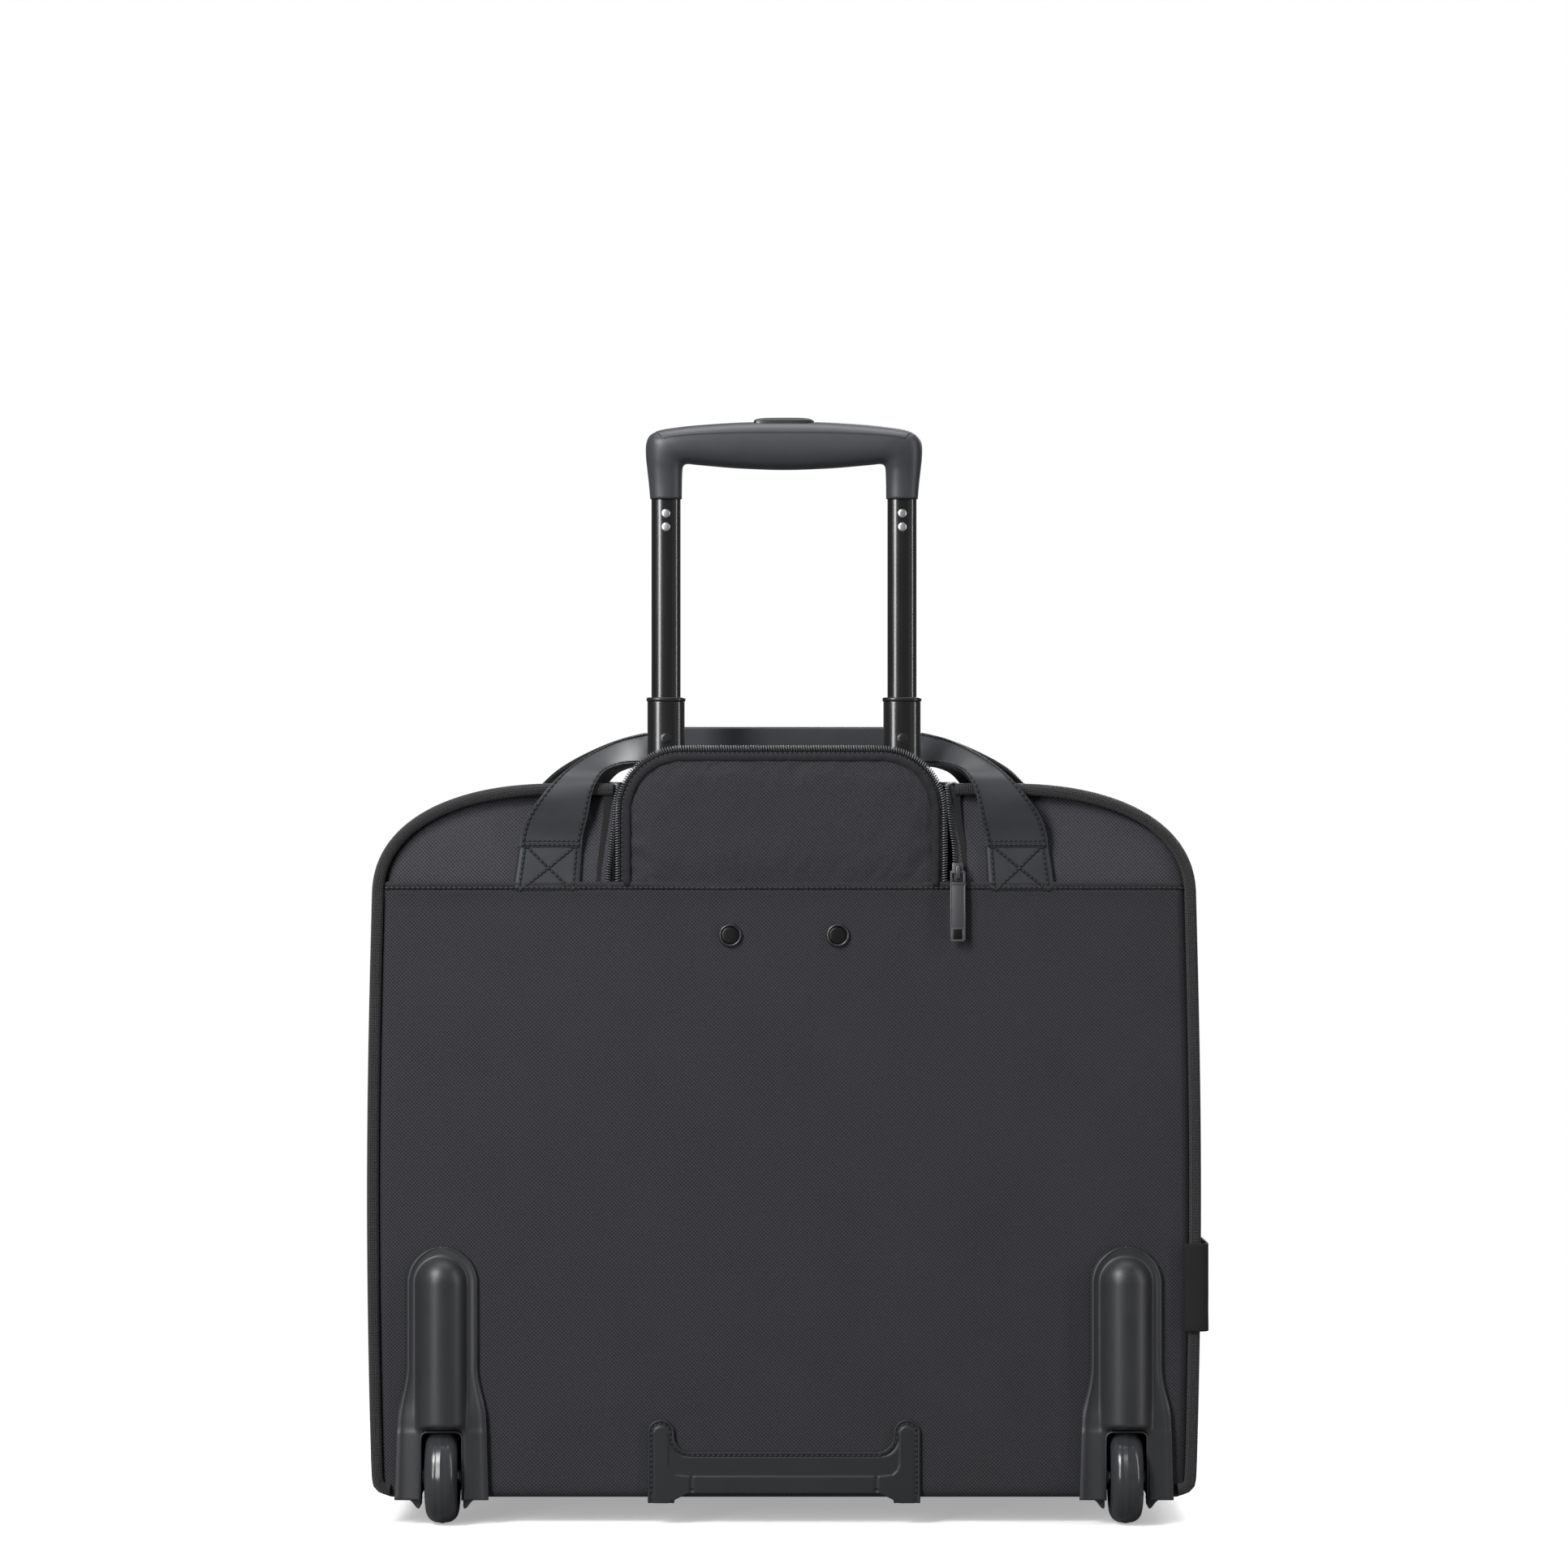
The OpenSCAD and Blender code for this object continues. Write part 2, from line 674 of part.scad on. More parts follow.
module along_x(w) {
    translate([-w / 2, tube_y, 0]) rotate([90, 0, 90]) linear_extrude(w) children();
}

module grip_solid() {
    intersection() {
        upright(tube_y - grip_d, tube_y + grip_d) grip_outline();
        along_x(grip_w) grip_side(0);
    }
}

module grip_hollow() {
    block([-tube_pitch / 2 - 5, tube_y - 6, grip_top - 21], [tube_pitch / 2 + 5, tube_y + 6, grip_top - 6]);
    for (side = [LEFT, RIGHT]) at_tube(side) translate([0, 0, leg_bottom - 1]) linear_extrude(23.1)
        rounded_rect(upper_w + 0.1, upper_d + 0.1, upper_r + 0.05);
}

module button_shape(grow, z0, z1) {
    translate([0, tube_y, z0]) linear_extrude(z1 - z0)
        rounded_rect(button_w + 2 * grow, 11 + 2 * grow, 5.4 + grow);
}

module grip_shell() {
    color("#3a3b3e") difference() {
        grip_solid();
        grip_hollow();
        block([-far, -far, grip_top - cap_h], [far, far, far]);
    }
}

module grip_cap() {
    color("#4a4b4f") difference() {
        grip_solid();
        grip_hollow();
        block([-far, -far, 0], [far, far, grip_top - cap_h + 0.02]);
        button_shape(gap, grip_top - 15, far);
    }
}

module release_button() {
    color("#1b1c1e") button_shape(0, grip_top - 9.8, grip_top + button_proud);
}

module release_yoke() {
    bar_z = grip_top - 13;
    rod_r = 1.5;
    color("#b9bbbe") {
        block([-tube_pitch / 2 - 3, tube_y - 3, bar_z], [tube_pitch / 2 + 3, tube_y + 5, bar_z + 3.2]);
        for (side = [LEFT, RIGHT]) translate([side * tube_pitch / 2, rod_y, pin_z - 2])
            cylinder(r = rod_r, h = bar_z - pin_z + 2.5);
    }
}

module lock_pins() {
    color("#c9cacc") for (side = [LEFT, RIGHT])
        at_tube(side) translate([0, -upper_d / 2 + 4.2, pin_z]) rotate([90, 0, 0])
            cylinder(r = pin_r, h = 5);
}

// ---- trolley cover ----

module flap_outline(inset) {
    half = flap_w / 2 - inset;
    r = flap_r - inset;
    top = flap_top - inset;
    base = hem_z + 0.6;
    translate([flap_x, 0]) {
        for (side = [-1, 1]) translate([side * (half - r), top - r]) circle(r);
        translate([-half + r, base]) square([2 * (half - r), top - base]);
        translate([-half, base]) square([2 * half, top - r - base]);
    }
}

module cover_flap() {
    color("#3b3a3f") upright(rear_y - 1.2, rear_y - 1.2 + flap_t) flap_outline(coil_w + 0.1);
}

module flap_zip_coil() {
    color("#0f0f10") upright(rear_y, rear_y + 2.2) difference() {
        flap_outline(0);
        flap_outline(coil_w);
    }
}

// ---- zip sliders and pulls, made lying flat with the zip along X and the pull towards +X ----

module slider() {
    linear_extrude(2.2) polygon([[-5, -2.6], [1, -3.6], [5, -3.6], [5, 3.6], [1, 3.6], [-5, 2.6]]);
    for (x = [-3.6, 2.4]) translate([x, -1, 2]) cube([1.2, 2, 2.6]);
    translate([-3.6, -1, 4.4]) cube([7.2, 2, 1]);
}

// The pull's top bar turns under the slider's bridge, which comes out through the hole below it.
module pull(length) {
    translate([0, 0, pull_axis - pull_t / 2]) linear_extrude(pull_t) difference() {
        translate([length / 2 - pull_t / 2, 0]) rounded_rect(length, 8, 1);
        translate([pull_t / 2, -2.3]) square([5, 4.6]);
        translate([length - 7, 0]) square([5.6, 5.6], center = true);
    }
}

module on_cover_zip() {
    translate([pull_x, rear_y - 1.3, hem_z + 6]) rotate([90, 90, 0]) children();
}

module cover_slider() {
    color("#1d1e20") on_cover_zip() slider();
}

module cover_pull() {
    color("#232427") on_cover_zip() pull(38);
}

module on_main_zip(side) {
    translate([side * main_slider_x, zip_y + 0.2, body_top + main_slider_lift])
        rotate([0, 0, side > 0 ? 180 : 0]) children();
}

module main_slider(side) {
    color("#1d1e20") on_main_zip(side) slider();
}

module main_pull(side) {
    color("#232427") on_main_zip(side) pull(24);
}

// ---- carry handles ----

front_spread = 9;                            // the front strap stands wider on its way up than the rear
strap_foot_z = 367.6;                        // height at which each strap starts

// Stations along one strap, from its anchor to the middle of the grip: a point on its outer edge
// and one on its inner edge, each as X, distance in from the face and height, then half its
// thickness. The strap clears the piping, turns flat over the top and is folded double in the grip.
strap_route = [
    [[-anchor_x - strap_w / 2, 0, strap_foot_z], [-anchor_x + strap_w / 2, 0, strap_foot_z],
     strap_t / 2],
    [[-138, -2.4, 380], [-107.5, -2.4, 378], strap_t / 2],
    [[-131, -3.9, 390], [-105, -3.9, 388], strap_t / 2],
    [[-121, -3.9, 402], [-101.5, -3.9, 400], strap_t / 2],
    [[-111, 13, 410], [-97.5, 2, 406], strap_t / 2],
    [[-99, 34, 417], [-90, 14, 409.5], strap_t / 2],
    [[-86, 54, 422.5], [-81, 34, 411], 1.8],
    [[-72, 70, 427], [-71, 54, 411.5], 2.4],
    [[-58, 79, handle_top], [-58, 74, 413], 3.2],
    [[-40, 81, handle_top], [-40, 79, handle_top - 16.8], 3.5],
    [[-20, 81, handle_top], [-20, 79, handle_top - 16.8], 3.5]];
function mirror_x(p) = [-p[0], p[1], p[2]];
function bulge(p) = sin(180 * (p[2] - strap_foot_z) / (handle_top - strap_foot_z))
    * min(1, max(0, (abs(p[0]) - 60) / 20)) * sign(p[0]);
strap_stations = concat(strap_route, [for (k = [len(strap_route) - 1:-1:0])
    let (s = strap_route[k]) [mirror_x(s[0]), mirror_x(s[1]), s[2]]]);

// Sweeps the strap; facing is -1 for the rear handle and 1 for the front one.
module strap(face_y, facing, spread) {
    n = len(strap_stations);
    function placed(p, out) = [p[0] + out * bulge(p), face_y - facing * p[1], p[2]];
    outer = [for (s = strap_stations) placed(s[0], spread)];
    inner = [for (s = strap_stations) placed(s[1], 0)];
    middle = (outer + inner) / 2;
    along = [for (k = [0:n - 1]) middle[min(k + 1, n - 1)] - middle[max(k - 1, 0)]];
    out = [for (k = [0:n - 1]) let (w = cross(outer[k] - inner[k], along[k]))
        w / norm(w) * strap_stations[k][2] * facing];
    points = [for (k = [0:n - 1], p = [outer[k] - out[k], inner[k] - out[k], inner[k] + out[k],
        outer[k] + out[k]]) p];
    sides = [for (k = [0:n - 2], q = [0:3], half = [0, 1])
        let (a = 4 * k + q, b = 4 * k + (q + 1) % 4) half == 0 ? [a, b, b + 4] : [a, b + 4, a + 4]];
    last = 4 * n - 4;
    polyhedron(points, concat([[2, 1, 0], [3, 2, 0]], sides,
        [[last, last + 1, last + 2], [last, last + 2, last + 3]]), convexity = 6);
}

module rear_handle() {
    color("#25272b") strap(rear_y - 0.7, -1, 0);
}

module front_handle() {
    color("#25272b") strap(front_y + 1.7, 1, front_spread);
}

rear_panel();
upper_rear_panel();
rear_gusset();
well_liner();
back_board();
base_board();
laptop_divider();
rear_piping();
housing_tube(LEFT);  // housing_tube_left
housing_tube(RIGHT);  // housing_tube_right
trolley_bezel();
base_bracket();
wheel_housing(LEFT);  // wheel_housing_left
wheel_housing(RIGHT);  // wheel_housing_right
axle(LEFT);  // axle_left
axle(RIGHT);  // axle_right
axle_spacers();
base_bumper();
stud_rings();
stud_caps();
front_feet();
side_tab();
rear_anchors();
cover_zip_coil();
main_zip_rear();
front_panel();
front_gusset();
front_piping();
front_pocket();
pocket_zip();
front_anchors();
main_zip_front();
lower_tube(LEFT);  // lower_tube_left
lower_tube(RIGHT);  // lower_tube_right
lower_collar(LEFT);  // lower_collar_left
lower_collar(RIGHT);  // lower_collar_right
upper_tube(LEFT);  // upper_tube_left
upper_tube(RIGHT);  // upper_tube_right
tube_rivets();
grip_shell();
grip_cap();
release_button();
release_yoke();
lock_pins();
tyre(LEFT);  // tyre_left
hub(LEFT);  // hub_left
bearings(LEFT);  // bearings_left
tyre(RIGHT);  // tyre_right
hub(RIGHT);  // hub_right
bearings(RIGHT);  // bearings_right
cover_flap();
flap_zip_coil();
cover_slider();
cover_pull();
main_slider(LEFT);  // main_slider_left
main_pull(LEFT);  // main_pull_left
main_slider(RIGHT);  // main_slider_right
main_pull(RIGHT);  // main_pull_right
rear_handle();
front_handle();
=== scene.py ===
"""The looks of the pilot case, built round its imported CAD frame. Everything is in metres."""
import math
import random

import bpy
import numpy as np
from mathutils import Matrix, Vector, noise


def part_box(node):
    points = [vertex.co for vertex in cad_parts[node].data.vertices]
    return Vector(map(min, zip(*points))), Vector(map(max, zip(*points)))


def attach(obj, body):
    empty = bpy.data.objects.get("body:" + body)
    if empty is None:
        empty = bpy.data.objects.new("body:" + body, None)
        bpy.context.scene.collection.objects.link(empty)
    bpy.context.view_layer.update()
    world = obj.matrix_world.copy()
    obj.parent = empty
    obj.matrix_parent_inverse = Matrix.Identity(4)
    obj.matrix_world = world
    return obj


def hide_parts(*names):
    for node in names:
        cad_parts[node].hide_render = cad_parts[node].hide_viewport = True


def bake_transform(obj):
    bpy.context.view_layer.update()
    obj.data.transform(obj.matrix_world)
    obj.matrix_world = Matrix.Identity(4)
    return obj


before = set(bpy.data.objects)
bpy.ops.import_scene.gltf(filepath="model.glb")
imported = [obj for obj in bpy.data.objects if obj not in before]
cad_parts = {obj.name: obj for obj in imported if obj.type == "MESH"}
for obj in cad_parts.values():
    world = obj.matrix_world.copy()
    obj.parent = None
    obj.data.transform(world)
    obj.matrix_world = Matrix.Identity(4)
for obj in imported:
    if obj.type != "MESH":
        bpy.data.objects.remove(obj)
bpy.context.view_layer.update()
random.seed(7)
MM = 0.001

# ---- places taken from the frame ----

piping_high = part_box("rear_piping")[1]
HALF_W = piping_high.x
BODY_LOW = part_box("rear_gusset")[0].z - 1 * MM
BODY_TOP = piping_high.z
REAR_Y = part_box("rear_panel")[0].y
FRONT_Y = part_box("front_panel")[1].y
ZIP_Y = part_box("front_gusset")[0].y - 0.4 * MM
ZIP_END_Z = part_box("main_zip_front")[0].z
HEM_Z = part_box("rear_panel")[1].z
PIPING_R = 3.2 * MM
PIPING_STEP = 2.5 * MM
SHOULDER_W = 103 * MM
SHOULDER_H = 62 * MM
SHOULDER_POWER = 2 / 2.3
SIDE_BELLY = 2.6 * MM
FOOT_R = 8 * MM
WELL_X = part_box("well_liner")[1].x - 1.2 * MM
WELL_FRONT_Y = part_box("well_liner")[1].y
WHEEL_X = (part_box("tyre_right")[0].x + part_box("tyre_right")[1].x) / 2
HANDLE_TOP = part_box("rear_handle")[1].z
FLAP_LOW, FLAP_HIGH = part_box("flap_zip_coil")
FLAP_X = (FLAP_LOW.x + FLAP_HIGH.x) / 2
FLAP_R = 36 * MM
UP = np.array([0, 0, 1.0])
REARWARDS = np.array([0, -1.0, 0])
FORWARDS = np.array([0, 1.0, 0])


# ---- camera, light and floor ----

CAMERA_DISTANCE = 2.7
CAMERA_HEIGHT = 0.3996
VIEW_WIDTH = 0.8456  # how much of the rear face's plane the picture spans
SURROUNDINGS = 0.17  # how strongly the white surroundings light the case
FLOOR_GLOW = 0.36
FLOOR_BOUNCE = (0.22, 0.22, 0.22, 1)  # the floor's colour as it lights the case
LIGHTS = [  # name, place, aim, width and height, power
    ("key", (-1.0, -1.25, 1.45), (-0.1, 0, 0.45), (0.7, 0.7), 29),
    ("fill", (1.7, -1.9, 0.9), (0, 0, 0.25), (1.0, 1.4), 1),
    ("top", (0, 0.1, 2.4), (0, 0, 0.2), (1.8, 1.2), 34),
    ("left_strip", (-1.15, -1.85, 1.0), (0, 0, 0.6), (0.4, 2.0), 38),
    ("right_strip", (1.6, -0.72, 0.6), (0, 0, 0.45), (0.14, 2.2), 12),
    ("front", (0.9, 2.1, 1.5), (0, 0, 0.3), (1.4, 1.0), 42),
]


def make_stage():
    """The photograph's level view from behind, in soft studio light on a pale floor."""
    scene = bpy.context.scene
    scene.view_settings.view_transform = "Standard"
    data = bpy.data.cameras.new("camera")
    data.sensor_width = 36
    data.lens = data.sensor_width * CAMERA_DISTANCE / VIEW_WIDTH
    camera = bpy.data.objects.new("camera", data)
    scene.collection.objects.link(camera)
    camera.location = (0, REAR_Y - CAMERA_DISTANCE, CAMERA_HEIGHT)
    camera.rotation_euler = (math.radians(90), 0, 0)
    scene.camera = camera

    world = bpy.data.worlds.new("studio")
    scene.world = world
    world.use_nodes = True
    nodes, links = world.node_tree.nodes, world.node_tree.links
    seen = nodes["Background"]
    seen.inputs["Color"].default_value = (1, 1, 1, 1)
    seen.inputs["Strength"].default_value = 1.0
    around = nodes.new("ShaderNodeBackground")
    around.inputs["Color"].default_value = (1, 1, 1, 1)
    around.inputs["Strength"].default_value = SURROUNDINGS
    path = nodes.new("ShaderNodeLightPath")
    mix = nodes.new("ShaderNodeMixShader")
    links.new(path.outputs["Is Camera Ray"], mix.inputs["Fac"])
    links.new(around.outputs[0], mix.inputs[1])
    links.new(seen.outputs[0], mix.inputs[2])
    links.new(mix.outputs[0], nodes["World Output"].inputs["Surface"])

    for name, place, aim, size, power in LIGHTS:
        light = bpy.data.lights.new(name, "AREA")
        light.shape = "RECTANGLE"
        light.size, light.size_y = size
        light.energy = power
        lamp = bpy.data.objects.new(name, light)
        scene.collection.objects.link(lamp)
        lamp.location = place
        lamp.rotation_euler = (Vector(aim) - Vector(place)).to_track_quat("-Z", "Y").to_euler()

    bpy.ops.mesh.primitive_plane_add(size=14)
    floor = bpy.context.object
    floor.name = "floor"
    shade = Shade("pale_floor", (0.9, 0.9, 0.9), 0.8, Emission_Color=(1, 1, 1, 1), Emission_Strength=FLOOR_GLOW)
    _, split = shade.coordinates("Object")
    sideways = shade.math("MULTIPLY", shade.math("ABSOLUTE", split[0]), 0.6)
    endways = shade.math("MAXIMUM", split[1], shade.math("MULTIPLY", split[1], -0.6))
    fade = shade.spread(shade.math("MAXIMUM", endways, sideways), 0, 1, 0.16, 0.42)
    clear = shade.nodes.new("ShaderNodeBsdfTransparent")
    path = shade.nodes.new("ShaderNodeLightPath")
    dull = shade.nodes.new("ShaderNodeBsdfDiffuse")
    dull.inputs["Color"].default_value = FLOOR_BOUNCE
    seen = shade.nodes.new("ShaderNodeMixShader")
    shade.links.new(path.outputs["Is Camera Ray"], seen.inputs["Fac"])
    shade.links.new(dull.outputs[0], seen.inputs[1])
    shade.links.new(shade.shader.outputs[0], seen.inputs[2])
    blend = shade.nodes.new("ShaderNodeMixShader")
    shade.links.new(fade, blend.inputs["Fac"])
    shade.links.new(seen.outputs[0], blend.inputs[1])
    shade.links.new(clear.outputs[0], blend.inputs[2])
    shade.links.new(blend.outputs[0], shade.nodes["Material Output"].inputs["Surface"])
    floor.data.materials.append(shade.material)


# ---- materials ----

class Shade:
    """A Principled material and short ways to add nodes to it."""

    def __init__(self, name, colour, roughness, **sockets):
        self.material = bpy.data.materials.new(name)
        self.material.use_nodes = True
        self.material.diffuse_color = (*colour, 1)
        self.nodes = self.material.node_tree.nodes
        self.links = self.material.node_tree.links
        self.shader = self.nodes["Principled BSDF"]
        self.set("Base Color", (*colour, 1))
        self.set("Roughness", roughness)
        for socket, value in sockets.items():
            self.set(socket.replace("_", " "), value)

    def set(self, socket, value):
        self.shader.inputs[socket].default_value = value

    def feed(self, socket, value):
        if isinstance(value, bpy.types.NodeSocket):
            self.links.new(value, socket)
        else:
            socket.default_value = value

    def math(self, operation, a, b=0.0, c=0.0):
        node = self.nodes.new("ShaderNodeMath")
        node.operation = operation
        for socket, value in zip(node.inputs, (a, b, c)):
            self.feed(socket, value)
        return node.outputs[0]

    def coordinates(self, kind):
        node = self.nodes.new("ShaderNodeTexCoord")
        split = self.nodes.new("ShaderNodeSeparateXYZ")
        self.links.new(node.outputs[kind], split.inputs[0])
        return node.outputs[kind], split.outputs

    def noise(self, where, scale, detail=3.0, roughness=0.55):
        node = self.nodes.new("ShaderNodeTexNoise")
        self.links.new(where, node.inputs["Vector"])
        node.inputs["Scale"].default_value = scale
        node.inputs["Detail"].default_value = detail
        node.inputs["Roughness"].default_value = roughness
        return node.outputs["Fac"]

    def cells(self, where, scale):
        node = self.nodes.new("ShaderNodeTexVoronoi")
        self.links.new(where, node.inputs["Vector"])
        node.inputs["Scale"].default_value = scale
        return node.outputs["Distance"]

    def spread(self, value, low, high, from_low=0.0, from_high=1.0):
        node = self.nodes.new("ShaderNodeMapRange")
        for socket, entry in zip(node.inputs, (value, from_low, from_high, low, high)):
            self.feed(socket, entry)
        return node.outputs[0]

    def tint(self, factor, dark, light):
        node = self.nodes.new("ShaderNodeMix")
        node.data_type = "RGBA"
        self.feed(node.inputs["Factor"], factor)
        node.inputs["A"].default_value = (*dark, 1)
        node.inputs["B"].default_value = (*light, 1)
        self.links.new(node.outputs["Result"], self.shader.inputs["Base Color"])

    def rough(self, factor):
        self.links.new(factor, self.shader.inputs["Roughness"])

    def bump(self, height, distance, strength=1.0, after=None):
        node = self.nodes.new("ShaderNodeBump")
        node.inputs["Strength"].default_value = strength
        node.inputs["Distance"].default_value = distance
        self.links.new(height, node.inputs["Height"])
        if after:
            self.links.new(after, node.inputs["Normal"])
        self.links.new(node.outputs[0], self.shader.inputs["Normal"])
        return node.outputs[0]


def scaled(colour, factor):
    return tuple(c * factor for c in colour)


YARN = 1.1 * MM  # the grain of the flecks in woven cloth
CORD = 1.9 * MM  # from cord to cord in the piping's cloth


def woven(name, colour, kind="UV", axes=(0, 1), pitch=1.0 * MM, contrast=0.9, sheen=0.04):
    """Plain-woven yarn: over-and-under bumps, a diagonal cast, flecks of lighter yarn and dust."""
    shade = Shade(name, colour, 0.8, Sheen_Weight=sheen, Sheen_Roughness=0.45,
                  Specular_IOR_Level=0.25)
    where, split = shade.coordinates(kind)
    turn = math.pi / pitch
    across = shade.math("SINE", shade.math("MULTIPLY", split[axes[0]], turn))
    along = shade.math("SINE", shade.math("MULTIPLY", split[axes[1]], turn))
    checks = shade.math("MULTIPLY", across, along)
    both = shade.math("ADD", split[axes[0]], split[axes[1]])
    twill = shade.math("SINE", shade.math("MULTIPLY", both, turn))
    height = shade.math("MULTIPLY_ADD", twill, 0.8, checks)
    flecks = shade.noise(where, 1 / YARN, 2.0, 0.7)
    cloud = shade.noise(where, 22, 3.0, 0.6)
    mixed = shade.math("MULTIPLY_ADD", flecks, 0.7, shade.spread(height, 0, 0.7, -1.2, 1.2))
    mixed = shade.math("MULTIPLY_ADD", cloud, 0.3, mixed)
    shade.tint(shade.spread(mixed, 0, 1, 0.3, 1.1), scaled(colour, 1 - contrast), scaled(colour, 1 + contrast))
    shade.rough(shade.spread(cloud, 0.72, 0.9))
    soft = shade.bump(shade.noise(where, 160, 2.0), 0.35 * MM, 0.35)
    shade.bump(height, 0.09 * MM, 0.8, after=soft)
    return shade.material


def roped(name, colour):
    """Coarse piping cloth: slanting cords across the piping, from UV in metres along and around."""
    shade = Shade(name, colour, 0.6, Sheen_Weight=0.08, Specular_IOR_Level=0.3)
    where, split = shade.coordinates("UV")
    slant = shade.math("MULTIPLY_ADD", split[1], 0.9, split[0])
    cords = shade.math("SINE", shade.math("MULTIPLY", slant, 2 * math.pi / CORD))
    back = shade.math("MULTIPLY_ADD", split[1], -0.9, split[0])
    crossing = shade.math("SINE", shade.math("MULTIPLY", back, 2 * math.pi / CORD))
    height = shade.math("MULTIPLY", cords, crossing)
    flecks = shade.noise(where, 1 / (0.9 * MM), 2.0)
    mixed = shade.math("MULTIPLY_ADD", flecks, 0.5, shade.spread(height, 0, 0.6, -1, 1))
    shade.tint(mixed, scaled(colour, 0.45), scaled(colour, 1.9))
    shade.bump(height, 0.45 * MM, 1.0)
    return shade.material


def leathery(name, colour, roughness=0.42, kind="Object"):
    """Smooth coated leather: fine pebbled grain, a soft satin gloss and faint handling marks."""
    shade = Shade(name, colour, roughness, Specular_IOR_Level=0.45)
    where, _ = shade.coordinates(kind)
    grain = shade.cells(where, 1 / (0.55 * MM))
    fine = shade.noise(where, 1 / (0.25 * MM), 2.0)
    cloud = shade.noise(where, 35, 4.0, 0.65)
    shade.tint(cloud, scaled(colour, 0.75), scaled(colour, 1.3))
    shade.rough(shade.spread(cloud, roughness - 0.08, roughness + 0.12))
    pebble = shade.bump(grain, 0.03 * MM, 0.5)
    shade.bump(fine, 0.02 * MM, 0.5, after=pebble)
    return shade.material


def moulded(name, colour, roughness=0.5, grain=0.35 * MM, depth=0.03 * MM):
    """Moulded plastic with a fine spark-eroded grain and slightly burnished high spots."""
    shade = Shade(name, colour, roughness, Specular_IOR_Level=0.45)
    where, _ = shade.coordinates("Object")
    fine = shade.noise(where, 1 / grain, 3.0, 0.7)
    cloud = shade.noise(where, 40, 3.0, 0.6)
    mixed = shade.math("MULTIPLY_ADD", fine, 0.5, shade.math("MULTIPLY", cloud, 0.5))
    shade.tint(mixed, scaled(colour, 0.8), scaled(colour, 1.22))
    shade.rough(shade.spread(cloud, roughness - 0.07, roughness + 0.1))
    shade.bump(fine, depth, 0.7)
    return shade.material


def metal(name, colour, roughness, metallic=1.0, streak=(600, 600, 12), depth=0.004 * MM, **sockets):
    """Metal with fine drawing lines along Z and light smudges."""
    shade = Shade(name, colour, roughness, Metallic=metallic, **sockets)
    where, _ = shade.coordinates("Object")
    stretch = shade.nodes.new("ShaderNodeMapping")
    stretch.inputs["Scale"].default_value = streak
    shade.links.new(where, stretch.inputs["Vector"])
    lines = shade.noise(stretch.outputs[0], 4.0, 2.0)
    smudge = shade.noise(where, 25, 4.0, 0.6)
    shade.tint(smudge, scaled(colour, 0.85), scaled(colour, 1.12))
    shade.rough(shade.spread(smudge, roughness * 0.8, roughness * 1.3))
    shade.bump(lines, depth, 0.4)
    return shade.material


